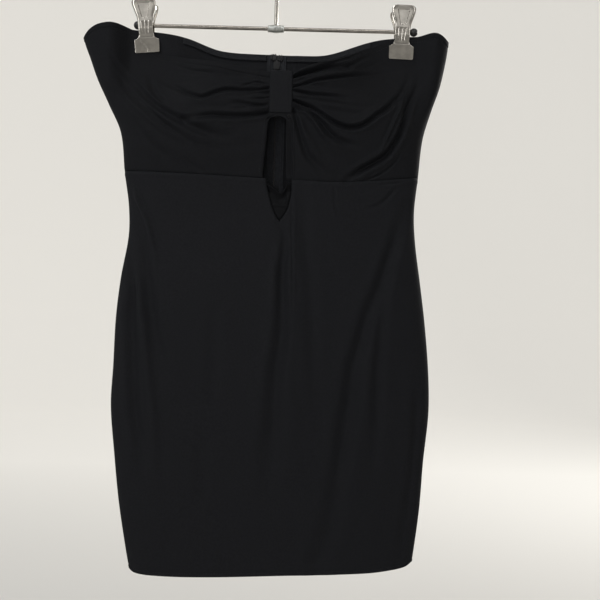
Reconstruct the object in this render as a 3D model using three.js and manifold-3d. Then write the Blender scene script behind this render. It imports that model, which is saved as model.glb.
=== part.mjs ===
// A strapless bodycon dress with a gathered bust, held by the two clips of a metal hanger.
// Millimetres, +Z up. The origin is where a rail carries the hook. The front faces -Y.
// Places on the cloth are given as x and as the distance down from the origin.
import * as THREE from "three";
import { mergeVertices } from "three/addons/utils/BufferGeometryUtils.js";
import Module from "manifold-3d";

const wasm = await Module();
wasm.setup();

// Driving sizes of the dress
const WALL = 1.2;
const SEAM = 0.3;
const FRONT = -1;
const BACK = 1;
const TAB = { left: -4.4, right: 23, top: 173.9, bottom: 226, middle: 9, ease: 0.6 };
const ZIP = { x: 1.6, top: 145, bottom: 470, gap: 3, tape: 12, thick: 1 };
const BAND = { height: 8, thick: 1, reach: 118 };

// Driving sizes of the hanger
const BAR = { down: 115, radius: 2.5, left: -167.9, right: 167.5 };
const HOOK = { inner: 19, wire: 2.5, tip: 195, straight: 62 };
const CLEAR = 0.3;
const CLIPS = [
  { name: "clip_left", x: -159.7, down: 142.3, lean: 5, inward: 1 },
  { name: "clip_right", x: 156.9, down: 140.6, lean: -1.5, inward: -1 },
];

// Outline from the front and depth of the section, row by row down the dress
const OUTLINE = [
  { down: 110, left: -242.5, right: 216.5, front: 23, back: 16 },
  { down: 134, left: -239.5, right: 215.5, front: 24, back: 16 },
  { down: 160, left: -230, right: 211.5, front: 25, back: 16 },
  { down: 185, left: -220.5, right: 206, front: 26, back: 16 },
  { down: 215, left: -206, right: 196, front: 26, back: 16 },
  { down: 250, left: -190, right: 186.5, front: 25, back: 15 },
  { down: 300, left: -184, right: 182, front: 21, back: 14 },
  { down: 340, left: -178, right: 178.5, front: 19, back: 14 },
  { down: 378, left: -177.2, right: 180.8, front: 19, back: 15 },
  { down: 430, left: -185.5, right: 188.5, front: 21, back: 17 },
  { down: 480, left: -190.5, right: 195.5, front: 22, back: 18 },
  { down: 540, left: -192.3, right: 201.5, front: 22, back: 18 },
  { down: 590, left: -194, right: 203, front: 21, back: 17 },
  { down: 650, left: -188.2, right: 198, front: 20, back: 16 },
  { down: 710, left: -181, right: 194.5, front: 19, back: 15 },
  { down: 768, left: -171, right: 188, front: 18, back: 14 },
  { down: 800, left: -164.5, right: 183.5, front: 18, back: 14 },
];

// Edges across the dress, from its left to its right in the front view
const TOP_FRONT = [
  { x: -240, down: 134 },
  { x: -230, down: 124 },
  { x: -218, down: 118.5 },
  { x: -200, down: 117 },
  { x: -184, down: 119.5 },
  { x: -174, down: 124 },
  { x: -161, down: 137 },
  { x: -150, down: 147 },
  { x: -139, down: 151.8 },
  { x: -121, down: 154.4 },
  { x: -103, down: 159.4 },
  { x: -64, down: 166.6 },
  { x: -22, down: 174 },
  { x: 9, down: 177.5 },
  { x: 28, down: 180.5 },
  { x: 54, down: 173 },
  { x: 91, down: 153.7 },
  { x: 119, down: 136.7 },
  { x: 143, down: 126 },
  { x: 158, down: 122 },
  { x: 178, down: 120.6 },
  { x: 196, down: 118.5 },
  { x: 206, down: 121 },
  { x: 215, down: 127 },
];
const TOP_BACK = [
  { x: -240, down: 134 },
  { x: -230, down: 124 },
  { x: -218, down: 118.5 },
  { x: -200, down: 117 },
  { x: -178, down: 120.6 },
  { x: -159, down: 122 },
  { x: -112, down: 127.6 },
  { x: -68, down: 139.8 },
  { x: -20, down: 142.7 },
  { x: 45, down: 143 },
  { x: 66, down: 141 },
  { x: 120, down: 127.3 },
  { x: 158, down: 122 },
  { x: 178, down: 120.6 },
  { x: 196, down: 118.5 },
  { x: 206, down: 121 },
  { x: 215, down: 127 },
];
const UNDERBUST = [
  { x: -183, down: 298 },
  { x: -120, down: 300.5 },
  { x: -11, down: 304.4 },
  { x: 72, down: 307 },
  { x: 130, down: 303.5 },
  { x: 180, down: 297.4 },
];
const HEM = [
  { x: -168, down: 791 },
  { x: -158, down: 796 },
  { x: -125, down: 797.4 },
  { x: -60, down: 796 },
  { x: -10, down: 793.5 },
  { x: 70, down: 790 },
  { x: 130, down: 786.8 },
  { x: 161, down: 783.2 },
  { x: 178, down: 779.8 },
  { x: 186, down: 775 },
];

// Soft fullness of the two bust pieces
const CUPS = [
  { x: -112, down: 235, rise: 6, across: 62, along: 48 },
  { x: 112, down: 232, rise: 6, across: 58, along: 48 },
];

// Folds: a curve from one place past a pull point to another; half widths at both ends;
// depth is positive in a trough and negative on a ridge; keep is the share left at the far end.
const FRONT_FOLDS = [
  { from: [-8, 180], pull: [-75, 167], to: [-140, 152], slim: 4, wide: 7, deep: 2, keep: 0.5 },
  { from: [-6, 189], pull: [-86, 226], to: [-146, 182], slim: 5, wide: 10, deep: 5, keep: 0.3 },
  { from: [-6, 199], pull: [-50, 211], to: [-90, 213], slim: 4, wide: 7, deep: 3, keep: 0 },
  { from: [-6, 212], pull: [-30, 213], to: [-54, 213], slim: 4, wide: 6, deep: 1.5, keep: 0 },
  { from: [-6, 221], pull: [-130, 272], to: [-207, 149], slim: 5, wide: 13, deep: 6, keep: 0.5 },
  { from: [-44, 258], pull: [-140, 264], to: [-213, 157], slim: 9, wide: 12, deep: 4, keep: 0.4 },
  { from: [-122, 285], pull: [-160, 256], to: [-192, 205], slim: 9, wide: 9, deep: 2.5, keep: 0.2 },
  { from: [-130, 219], pull: [-160, 195], to: [-167, 160], slim: 8, wide: 8, deep: 2.5, keep: 0 },
  { from: [-150, 201], pull: [-180, 170], to: [-207, 134], slim: 7, wide: 8, deep: -2.5, keep: 0.5 },
  { from: [26, 193], pull: [90, 176], to: [166, 157], slim: 4, wide: 8, deep: 4.5, keep: 0.2 },
  { from: [80, 164], pull: [96, 151], to: [116, 141], slim: 5, wide: 5, deep: 1.5, keep: 0.4 },
  { from: [95, 167], pull: [119, 155], to: [137, 143], slim: 5, wide: 5, deep: 1.5, keep: 0.3 },
  { from: [26, 199], pull: [75, 212], to: [122, 195], slim: 4, wide: 8, deep: 3, keep: 0 },
  { from: [27, 208], pull: [98, 300], to: [169, 160], slim: 4, wide: 11, deep: 5, keep: 0.2 },
  { from: [27, 214], pull: [98, 314], to: [154, 208], slim: 4, wide: 10, deep: 3, keep: 0 },
  { from: [88, 307], pull: [178, 272], to: [184, 170], slim: 10, wide: 11, deep: 7, keep: 0.3 },
  { from: [97, 309], pull: [135, 303], to: [161, 276], slim: 5, wide: 6, deep: 2, keep: 0 },
  { from: [27, 222], pull: [32, 292], to: [88, 308], slim: 5, wide: 9, deep: 2.5, keep: 0.3 },
  { from: [14, 368], pull: [28, 470], to: [-16, 670], slim: 9, wide: 22, deep: 3.5, keep: 0 },
  { from: [171, 340], pull: [95, 520], to: [68, 770], slim: 11, wide: 24, deep: 3.5, keep: 0.2 },
  { from: [-169, 395], pull: [-173, 500], to: [-157, 650], slim: 8, wide: 12, deep: 3, keep: 0 },
  { from: [-170, 318], pull: [-150, 420], to: [-126, 575], slim: 7, wide: 16, deep: -3, keep: 0 },
  { from: [90, 339], pull: [135, 325], to: [171, 299], slim: 7, wide: 8, deep: 2, keep: 0.5 },
  { from: [-95, 600], pull: [-85, 690], to: [-95, 795], slim: 20, wide: 28, deep: 3, keep: 0.8 },
];
const BACK_FOLDS = [
  { from: [-142, 158], pull: [-110, 230], to: [-40, 285], slim: 7, wide: 14, deep: 4, keep: 0 },
  { from: [140, 158], pull: [112, 222], to: [52, 262], slim: 7, wide: 13, deep: 4.5, keep: 0 },
  { from: [-172, 165], pull: [-182, 230], to: [-150, 320], slim: 8, wide: 12, deep: 3, keep: 0 },
  { from: [168, 162], pull: [174, 240], to: [140, 345], slim: 8, wide: 13, deep: 3.5, keep: 0 },
  { from: [-60, 330], pull: [-75, 362], to: [-165, 372], slim: 9, wide: 9, deep: 2.5, keep: 0.3 },
  { from: [70, 345], pull: [88, 372], to: [168, 366], slim: 9, wide: 10, deep: 2.5, keep: 0.3 },
  { from: [-40, 500], pull: [-80, 640], to: [-72, 792], slim: 16, wide: 26, deep: 3.5, keep: 0.8 },
  { from: [60, 520], pull: [96, 650], to: [88, 785], slim: 16, wide: 24, deep: 3, keep: 0.8 },
];

// Keyhole between the bust pieces, V notch in the skirt below it, and the inset's two edges
const KEYHOLE = [[-4.8, 224.2], [-5, 227], [-7, 236], [-9.6, 261], [-12, 284], [-12.3, 308],
  [18.4, 308], [17.2, 269], [16, 227], [23.4, 226.6], [23.4, 224.2]];
const NOTCH = [[-6.5, 302], [-5.8, 311], [-3.2, 323], [1.7, 340], [11, 357], [21.3, 340], [24.7, 322], [24.6, 302]];
const INSET_TOP = [
  { x: -9, down: 307.5 },
  { x: -2, down: 311.5 },
  { x: 4.5, down: 316 },
  { x: 10, down: 320 },
  { x: 16.5, down: 317 },
  { x: 19.5, down: 310 },
  { x: 28, down: 308.6 },
];
const INSET_TIP = [
  { x: -9, down: 322 },
  { x: -3, down: 341 },
  { x: 5, down: 356 },
  { x: 11, down: 363 },
  { x: 20, down: 353 },
  { x: 28, down: 330 },
];

// Colours and finishes
const jersey = () => new THREE.MeshStandardMaterial({ color: 0x17181b, roughness: 0.6, metalness: 0 });
const elastic = () => new THREE.MeshStandardMaterial({ color: 0x1b1c1f, roughness: 0.5, metalness: 0 });
const zipMetal = () => new THREE.MeshStandardMaterial({ color: 0x1a1a1c, roughness: 0.35, metalness: 0.6 });
const nickel = () => new THREE.MeshStandardMaterial({ color: 0xa9a59c, roughness: 0.22, metalness: 1 });
const zinc = () => new THREE.MeshStandardMaterial({ color: 0x8f928e, roughness: 0.45, metalness: 0.9 });
const rubber = () => new THREE.MeshStandardMaterial({ color: 0x111113, roughness: 0.6, metalness: 0 });

const dress = new THREE.Group();

function add(name, geometry, material) {
  const mesh = new THREE.Mesh(geometry, material);
  mesh.name = name;
  dress.add(mesh);
  return mesh;
}

// Curves through the tables' rows
function smooth(rows, place, column, at) {
  const last = rows.length - 1;
  let i = 0;
  while (i < last - 1 && at > rows[i + 1][place]) i += 1;
  const slope = (k) => {
    const before = rows[Math.max(k - 1, 0)];
    const after = rows[Math.min(k + 1, last)];
    return (after[column] - before[column]) / (after[place] - before[place]);
  };
  const a = rows[i];
  const b = rows[i + 1];
  const span = b[place] - a[place];
  const t = THREE.MathUtils.clamp((at - a[place]) / span, 0, 1);
  const rise = t * t * (3 - 2 * t);
  const leave = t * (1 - t) * (1 - t) * span * slope(i);
  const arrive = t * t * (1 - t) * span * slope(i + 1);
  return a[column] + (b[column] - a[column]) * rise + leave - arrive;
}

const fadeIn = (from, to, at) => THREE.MathUtils.smoothstep(at, from, to);

// Share of the section that a clip presses flat at a place
const PRESS = { half: 18, below: 152, under: 235, inward: 92, outward: 46 };
function pressed(x, down) {
  let share = 0;
  for (const clip of CLIPS) {
    const away = (x - clip.x) * clip.inward;
    const reach = away > 0 ? PRESS.inward : PRESS.outward;
    const across = 1 - fadeIn(PRESS.half, reach, Math.abs(away));
    const along = 1 - fadeIn(PRESS.below, PRESS.under, down);
    share = Math.max(share, across * along);
  }
  return share;
}

function halfWidth(down) {
  return (smooth(OUTLINE, "down", "right", down) - smooth(OUTLINE, "down", "left", down)) / 2;
}

function middle(down) {
  return (smooth(OUTLINE, "down", "right", down) + smooth(OUTLINE, "down", "left", down)) / 2;
}

const shareAt = (x, down) => (x - middle(down)) / halfWidth(down);

// Point of the unfolded tube: side is FRONT or BACK, share runs from -1 at the left to 1
function tube(side, share, down) {
  const x = middle(down) + halfWidth(down) * share;
  const depth = smooth(OUTLINE, "down", side === FRONT ? "front" : "back", down);
  const open = 1 - pressed(x, down);
  const flat = WALL + SEAM / 2;
  let y = depth * Math.sqrt(Math.max(0, 1 - share ** 4)) * open + flat * (1 - open);
  if (side === FRONT) y += bustRise(x, down) * open;
  return new THREE.Vector3(x, side * Math.max(y, SEAM / 2), -down);
}

function bustRise(x, down) {
  let rise = 0;
  for (const cup of CUPS) {
    const across = (x - cup.x) / cup.across;
    const along = (down - cup.down) / cup.along;
    rise += cup.rise * Math.exp(-across * across - along * along);
  }
  return rise;
}

// Each fold's centre line as points with the half width and depth there
const FOLD_STEPS = 16;
function traced(folds) {
  return folds.map((fold) => {
    const points = [];
    for (let k = 0; k <= FOLD_STEPS; k += 1) {
      const t = k / FOLD_STEPS;
      const mix = (c) => (1 - t) ** 2 * fold.from[c] + 2 * t * (1 - t) * fold.pull[c] + t * t * fold.to[c];
      const end = THREE.MathUtils.lerp(fold.keep, 1, 1 - fadeIn(0.6, 1, t));
      const start = 0.35 + 0.65 * fadeIn(0, 0.15, t);
      points.push({ x: mix(0), down: mix(1), wide: THREE.MathUtils.lerp(fold.slim, fold.wide, t),
        deep: fold.deep * end * start });
    }
    return points;
  });
}
const TRACED = { [FRONT]: traced(FRONT_FOLDS), [BACK]: traced(BACK_FOLDS) };

// Depth of a fold's profile: a trough with low shoulders
const profile = (r) => (1 - 1.5 * r * r) * Math.exp(-r * r);

function creased(side, x, down) {
  let sum = 0;
  for (const points of TRACED[side]) {
    let best = { gap: Infinity };
    for (let k = 0; k < points.length - 1; k += 1) {
      const a = points[k];
      const b = points[k + 1];
      const dx = b.x - a.x;
      const dd = b.down - a.down;
      const t = THREE.MathUtils.clamp(((x - a.x) * dx + (down - a.down) * dd) / (dx * dx + dd * dd), 0, 1);
      const gap = Math.hypot(x - a.x - dx * t, down - a.down - dd * t);
      if (gap < best.gap) best = { gap, wide: THREE.MathUtils.lerp(a.wide, b.wide, t),
        deep: THREE.MathUtils.lerp(a.deep, b.deep, t) };
    }
    if (best.gap < 3 * best.wide) sum += best.deep * profile(best.gap / best.wide);
  }
  return sum;
}

// Folds die out under the tab and the clips and at the side seams
function calm(x, down, share) {
  const aside = Math.max(TAB.left - x, x - TAB.right);
  const below = down - TAB.bottom;
  const tab = Math.max(fadeIn(1, 6, aside), fadeIn(1, 6, below));
  const side = 1 - fadeIn(0.93, 1, Math.abs(share));
  return tab * side * (1 - pressed(x, down));
}

const PROBE = 0.001;
function facing(point, side, share, down) {
  const step = share > 0 ? -PROBE : PROBE;
  const here = point(share, down);
  const across = point(share + step, down).sub(here).multiplyScalar(1 / step);
  const along = point(share, down + 1).sub(here);
  const normal = across.cross(along).normalize();
  if (normal.y * side < 0) normal.negate();
  return normal;
}

function cloth(side, share, down) {
  const plain = (s, d) => tube(side, s, d);
  const point = plain(share, down);
  const depth = creased(side, point.x, down) * calm(point.x, down, share);
  const moved = point.addScaledVector(facing(plain, side, share, down), -depth);
  moved.y = side * Math.max(side * moved.y, SEAM / 2);
  return moved;
}

// A closed wall between an outer and an inner grid of points
function wallBetween(outer, inner) {
  const rows = outer.length;
  const columns = outer[0].length;
  const positions = [];
  for (const grid of [outer, inner]) for (const row of grid) for (const p of row) positions.push(p.x, p.y, p.z);
  const id = (layer, i, j) => layer * rows * columns + i * columns + j;
  const index = [];
  const quad = (a, b, c, d) => index.push(a, b, c, a, c, d);
  for (let i = 0; i < rows - 1; i += 1) {
    for (let j = 0; j < columns - 1; j += 1) {
      quad(id(0, i, j), id(0, i + 1, j), id(0, i + 1, j + 1), id(0, i, j + 1));
      quad(id(1, i, j), id(1, i, j + 1), id(1, i + 1, j + 1), id(1, i + 1, j));
    }
    quad(id(0, i, 0), id(1, i, 0), id(1, i + 1, 0), id(0, i + 1, 0));
    const j = columns - 1;
    quad(id(0, i, j), id(0, i + 1, j), id(1, i + 1, j), id(1, i, j));
  }
  for (let j = 0; j < columns - 1; j += 1) {
    quad(id(0, 0, j), id(0, 0, j + 1), id(1, 0, j + 1), id(1, 0, j));
    const i = rows - 1;
    quad(id(0, i, j), id(1, i, j), id(1, i, j + 1), id(0, i, j + 1));
  }
  return outward(closed(positions, index));
}

function closed(positions, index) {
  const geometry = new THREE.BufferGeometry();
  geometry.setAttribute("position", new THREE.Float32BufferAttribute(positions, 3));
  geometry.setIndex(index);
  return geometry;
}

// Turns every face round when the body's volume comes out negative
function outward(geometry) {
  const p = geometry.getAttribute("position");
  const index = geometry.getIndex().array;
  const corner = (k) => new THREE.Vector3().fromBufferAttribute(p, index[k]);
  let volume = 0;
  for (let k = 0; k < index.length; k += 3) volume += corner(k).dot(corner(k + 1).cross(corner(k + 2)));
  if (volume < 0) {
    for (let k = 0; k < index.length; k += 3) [index[k + 1], index[k + 2]] = [index[k + 2], index[k + 1]];
  }
  return geometry;
}

// Solids for joining and cutting
function solid(geometry) {
  const bare = geometry.clone();
  bare.deleteAttribute("normal");
  bare.deleteAttribute("uv");
  const merged = mergeVertices(bare, 1e-4);
  return new wasm.Manifold(new wasm.Mesh({ numProp: 3,
    vertProperties: new Float32Array(merged.getAttribute("position").array),
    triVerts: new Uint32Array(merged.getIndex().array) }));
}

function shaped(manifold) {
  const mesh = manifold.getMesh();
  return closed(Array.from(mesh.vertProperties), Array.from(mesh.triVerts));
}

// A wall on the dress: places(i, j) gives share and down; kept edges face their seam squarely
function panel(side, rows, columns, places, { lift = 0, thick = WALL } = {}) {
  const outer = [];
  const inner = [];
  const surface = (s, d) => cloth(side, s, d);
  for (let i = 0; i < rows; i += 1) {
    outer.push([]);
    inner.push([]);
    for (let j = 0; j < columns; j += 1) {
      const { share, down } = places(i, j);
      const normal = facing(surface, side, share, down);
      if (i === 0 || i === rows - 1) normal.z = 0;
      if (Math.abs(share) > 0.9999) normal.set(Math.sign(share), 0, 0);
      else if (j === 0 || j === columns - 1) normal.x = 0;
      normal.normalize();
      const point = surface(share, down).addScaledVector(normal, lift);
      const under = point.clone().addScaledVector(normal, -thick);
      under.y = side * Math.max(side * under.y, SEAM / 2);
      outer[i].push(point);
      inner[i].push(under);
    }
  }
  return wallBetween(outer, inner);
}

// Column places from a straight inner edge at x to the side seam
const ROUND = [0.93, 0.965, 0.988, 1];
function fromEdge(edgeX, direction, count) {
  return (j, down) => {
    const start = shareAt(edgeX(down), down);
    const flat = count - ROUND.length + 1;
    if (j > flat) return direction * ROUND[j - flat];
    return THREE.MathUtils.lerp(start, direction * ROUND[0], (j / flat) ** 1.12);
  };
}

// The place of a column and row between two edges across the dress
function between(upper, lower, share, fraction, from, to) {
  let down = THREE.MathUtils.lerp(from, to, fraction);
  for (let k = 0; k < 4; k += 1) {
    const x = middle(down) + halfWidth(down) * share(down);
    const top = smooth(upper, "x", "down", x) + (upper === UNDERBUST ? SEAM / 2 : 0);
    const bottom = smooth(lower, "x", "down", x) - (lower === UNDERBUST ? SEAM / 2 : 0);
    down = THREE.MathUtils.lerp(top, bottom, fraction);
  }
  return { share: share(down), down };
}

// Upright prism through the cloth over an outline of x and down
function punch(outline) {
  const shape = new THREE.Shape(outline.map(([x, down]) => new THREE.Vector2(x, -down)));
  const prism = new THREE.ExtrudeGeometry(shape, { depth: 60, bevelEnabled: false });
  prism.rotateX(Math.PI / 2);
  return prism;
}

// Bust pieces
const BUST_ROWS = 24;
const BUST_COLUMNS = 27;
function bustPiece(name, direction) {
  const edge = () => TAB.middle + direction * SEAM / 2;
  const columns = fromEdge(edge, direction, BUST_COLUMNS - 1);
  const geometry = panel(FRONT, BUST_ROWS, BUST_COLUMNS, (i, j) => {
    const share = (down) => columns(j, down);
    return between(TOP_FRONT, UNDERBUST, share, i / (BUST_ROWS - 1), 150, 300);
  });
  const cut = solid(geometry).subtract(solid(punch(KEYHOLE)));
  add(name, shaped(cut), jersey());
}

// Skirt front with its V notch
const SKIRT_ROWS = 18;
const SKIRT_COLUMNS = 29;
function skirtFront() {
  const flat = SKIRT_COLUMNS - 2 * ROUND.length + 1;
  const place = (j) => {
    if (j < ROUND.length) return -ROUND[ROUND.length - 1 - j];
    if (j > SKIRT_COLUMNS - 1 - ROUND.length) return ROUND[j - SKIRT_COLUMNS + ROUND.length];
    return THREE.MathUtils.lerp(-ROUND[0], ROUND[0], (j - ROUND.length + 1) / flat);
  };
  const geometry = panel(FRONT, SKIRT_ROWS, SKIRT_COLUMNS, (i, j) =>
    between(UNDERBUST, HEM, () => place(j), i / (SKIRT_ROWS - 1), 300, 790));
  const cut = solid(geometry).subtract(solid(punch(NOTCH)));
  add("skirt_front", shaped(cut), jersey());
}

function keyholeInset() {
  const columns = 13;
  const rows = 5;
  const left = INSET_TOP[0].x;
  const right = INSET_TOP[INSET_TOP.length - 1].x;
  const geometry = panel(FRONT, rows, columns, (i, j) => {
    const x = THREE.MathUtils.lerp(left, right, j / (columns - 1));
    const top = smooth(INSET_TOP, "x", "down", x);
    const tip = smooth(INSET_TIP, "x", "down", x);
    const down = THREE.MathUtils.lerp(top, tip, i / (rows - 1));
    return { share: shareAt(x, down), down };
  }, { lift: -WALL - 2 * SEAM, thick: 1 });
  add("keyhole_inset", geometry, jersey());
}

// Back pieces, parted by the zip and closed by a seam below it
const BACK_ROWS = 21;
const BACK_COLUMNS = 15;
function backPiece(name, direction) {
  const edge = (down) => {
    const half = THREE.MathUtils.lerp(ZIP.gap, SEAM, fadeIn(ZIP.bottom, ZIP.bottom + 20, down)) / 2;
    return ZIP.x + direction * half;
  };
  const columns = fromEdge(edge, direction, BACK_COLUMNS - 1);
  const geometry = panel(BACK, BACK_ROWS, BACK_COLUMNS, (i, j) => {
    const share = (down) => columns(j, down);
    return between(TOP_BACK, HEM, share, i / (BACK_ROWS - 1), 140, 790);
  });
  add(name, geometry, jersey());
}

// Strip on the inside of the back between two x and two distances down
function insideStrip(name, material, thick, rows, columns, x, down) {
  const geometry = panel(BACK, rows, columns, (i, j) => {
    const at = x(j / (columns - 1));
    const level = down(at, i / (rows - 1));
    return { share: shareAt(at, level), down: level };
  }, { lift: -WALL - 2 * SEAM, thick });
  add(name, geometry, material);
}

function zipTape(name, direction) {
  const x = (f) => ZIP.x + direction * THREE.MathUtils.lerp(ZIP.gap / 2, ZIP.tape, f);
  const down = (at, f) => THREE.MathUtils.lerp(ZIP.top, ZIP.bottom + 8, f);
  insideStrip(name, elastic(), ZIP.thick, 16, 3, x, down);
}

function backBand(name, direction) {
  const start = ZIP.tape + 0.8;
  const x = (f) => ZIP.x + direction * THREE.MathUtils.lerp(start, BAND.reach, f);
  const down = (at, f) => smooth(TOP_BACK, "x", "down", at) + 0.6 + BAND.height * f;
  insideStrip(name, elastic(), BAND.thick, 3, 12, x, down);
}

// Loop of cloth round the two gathered edges at the centre of the bust
function bustTab() {
  const steps = 8;
  const across = [TAB.left, TAB.middle, TAB.right];
  const levelsOf = (down) => across.map((x) => cloth(FRONT, shareAt(x, down), down).y);
  const face = (down) => Math.min(...levelsOf(down)) - TAB.ease;
  const within = (down) => Math.max(...levelsOf(down)) + WALL + TAB.ease;
  const top = TAB.top + WALL + SEAM;
  const bottom = TAB.bottom - WALL - SEAM;
  const levels = Array.from({ length: steps + 1 }, (_, k) => THREE.MathUtils.lerp(top, bottom, k / steps));
  const loop = (out) => {
    const front = levels.map((d) => new THREE.Vector2(face(d) - out, -d));
    const back = levels.map((d) => new THREE.Vector2(within(d) + out, -d)).reverse();
    const under = new THREE.Vector2((face(bottom) + within(bottom)) / 2, -bottom - SEAM - out);
    const over = new THREE.Vector2((face(top) + within(top)) / 2, -top + SEAM + out);
    return [...front, under, ...back, over];
  };
  const ring = new THREE.Shape(loop(WALL));
  ring.holes.push(new THREE.Path(loop(0)));
  const geometry = new THREE.ExtrudeGeometry(ring, { depth: TAB.right - TAB.left, bevelEnabled: false });
  geometry.applyMatrix4(new THREE.Matrix4().set(0, 0, 1, TAB.left, 1, 0, 0, 0, 0, 1, 0, 0, 0, 0, 0, 1));
  add("bust_tab", geometry, jersey());
}

// Slider, closed at the zip's top, and its hinged pull
const SLIDER = { width: 7.6, height: 10, plate: 1.2, neck: 2, down: 157, bridge: 1.6, leg: 1 };
const PULL = { width: 5.6, length: 25, thick: 1.2, hole: 3.8, arm: 1.4, above: 1.1 };
function slab(width, height, depth, radius) {
  const shape = new THREE.Shape();
  const x = width / 2;
  const y = height / 2;
  shape.absarc(x - radius, y - radius, radius, 0, Math.PI / 2);
  shape.absarc(-x + radius, y - radius, radius, Math.PI / 2, Math.PI);
  shape.absarc(-x + radius, -y + radius, radius, Math.PI, 1.5 * Math.PI);
  shape.absarc(x - radius, -y + radius, radius, 1.5 * Math.PI, 2 * Math.PI);
  return { shape, options: { depth, bevelEnabled: false, curveSegments: 4 } };
}

function uprightSlab(width, height, depth, radius, place) {
  const { shape, options } = slab(width, height, depth, radius);
  const geometry = new THREE.ExtrudeGeometry(shape, options);
  geometry.rotateX(Math.PI / 2);
  geometry.translate(place.x, place.y + depth, place.z);
  return geometry;
}

function zipSlider() {
  const level = (down) => cloth(BACK, shareAt(ZIP.x, down), down).y;
  const ends = [SLIDER.down - SLIDER.height / 2, SLIDER.down, SLIDER.down + SLIDER.height / 2];
  const outside = Math.max(...ends.map(level)) + SEAM;
  const inside = Math.min(...ends.map(level)) - WALL - ZIP.thick - 3.5 * SEAM - SLIDER.plate;
  const z = -SLIDER.down;
  const outer = uprightSlab(SLIDER.width, SLIDER.height, SLIDER.plate, 2, { x: ZIP.x, y: outside, z });
  const within = uprightSlab(SLIDER.width, SLIDER.height, SLIDER.plate, 2, { x: ZIP.x, y: inside, z });
  const neck = new THREE.BoxGeometry(SLIDER.neck, outside - inside, 3);
  neck.translate(ZIP.x, (outside + inside) / 2 + SLIDER.plate / 2, z + SLIDER.height / 2 + 0.5);
  const face = outside + SLIDER.plate;
  const axis = face + PULL.above;
  const reach = 2.7;
  const rise = 2 * PULL.above + SLIDER.leg;
  const bridge = new THREE.BoxGeometry(SLIDER.bridge, rise, 2 * reach + SLIDER.leg);
  bridge.translate(ZIP.x, face + rise / 2 - 0.05, z);
  const eye = new THREE.BoxGeometry(2 * SLIDER.bridge, 2 * PULL.above, 2 * reach - SLIDER.leg);
  eye.translate(ZIP.x, face + PULL.above, z);
  const arch = solid(bridge).subtract(solid(eye));
  const body = solid(outer).add(solid(within)).add(solid(neck)).add(arch);
  add("zip_slider", shaped(body), zipMetal());
  return new THREE.Vector3(ZIP.x, axis, z);
}

function zipPull(axis) {
  const { shape, options } = slab(PULL.width, PULL.length, PULL.thick, 1.4);
  const half = PULL.width / 2 - PULL.arm;
  const top = PULL.length / 2 - PULL.thick;
  const hole = [[-half, top], [half, top], [half, top - PULL.hole], [-half, top - PULL.hole]];
  shape.holes.push(new THREE.Path(hole.map(([x, y]) => new THREE.Vector2(x, y))));
  const geometry = new THREE.ExtrudeGeometry(shape, options);
  geometry.rotateX(Math.PI / 2);
  geometry.translate(0, PULL.thick / 2, -PULL.length / 2 + PULL.thick / 2);
  add("zip_pull", geometry, zipMetal()).position.copy(axis);
}

// Hanger: bar, ferrule, hook and ball ends
function rod(radius, length, sides) {
  const geometry = new THREE.CylinderGeometry(radius, radius, length, sides);
  geometry.rotateZ(Math.PI / 2);
  return geometry;
}

function hangerBar() {
  const geometry = rod(BAR.radius, BAR.right - BAR.left, 16);
  geometry.translate((BAR.left + BAR.right) / 2, 0, -BAR.down);
  add("hanger_bar", geometry, nickel());
}

function ballEnd(name, x, direction) {
  const radius = 4.8;
  const flat = Math.asin(BAR.radius / radius);
  const profilePoints = [new THREE.Vector2(0, -radius * Math.cos(flat))];
  for (let k = 0; k <= 6; k += 1) {
    const a = THREE.MathUtils.lerp(flat, Math.PI, k / 6);
    profilePoints.push(new THREE.Vector2(Math.max(radius * Math.sin(a), 0), -radius * Math.cos(a)));
  }
  profilePoints[profilePoints.length - 1].x = 0;
  const geometry = new THREE.LatheGeometry(profilePoints, 12);
  geometry.rotateZ(-direction * Math.PI / 2);
  geometry.translate(x + direction * (CLEAR + radius * Math.cos(flat)), 0, -BAR.down);
  add(name, geometry, rubber());
}

const FERRULE = { half: 10, middle: 5.6, end: 3.9, socket: 111.5 };
function ferrule() {
  const bore = BAR.radius + CLEAR;
  const outline = [[bore, -FERRULE.half], [FERRULE.end, -FERRULE.half], [5.2, -5], [FERRULE.middle, 0],
    [5.2, 5], [FERRULE.end, FERRULE.half], [bore, FERRULE.half], [bore, -FERRULE.half]];
  const sleeve = new THREE.LatheGeometry(outline.map(([r, x]) => new THREE.Vector2(r, x)), 20);
  sleeve.rotateZ(Math.PI / 2);
  sleeve.translate(0, 0, -BAR.down);
  const socket = new THREE.CylinderGeometry(HOOK.wire + CLEAR, HOOK.wire + CLEAR, 10, 16);
  socket.rotateX(Math.PI / 2);
  socket.translate(0, 0, -FERRULE.socket + 5);
  add("hanger_ferrule", shaped(solid(sleeve).subtract(solid(socket))), zinc());
}

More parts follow.
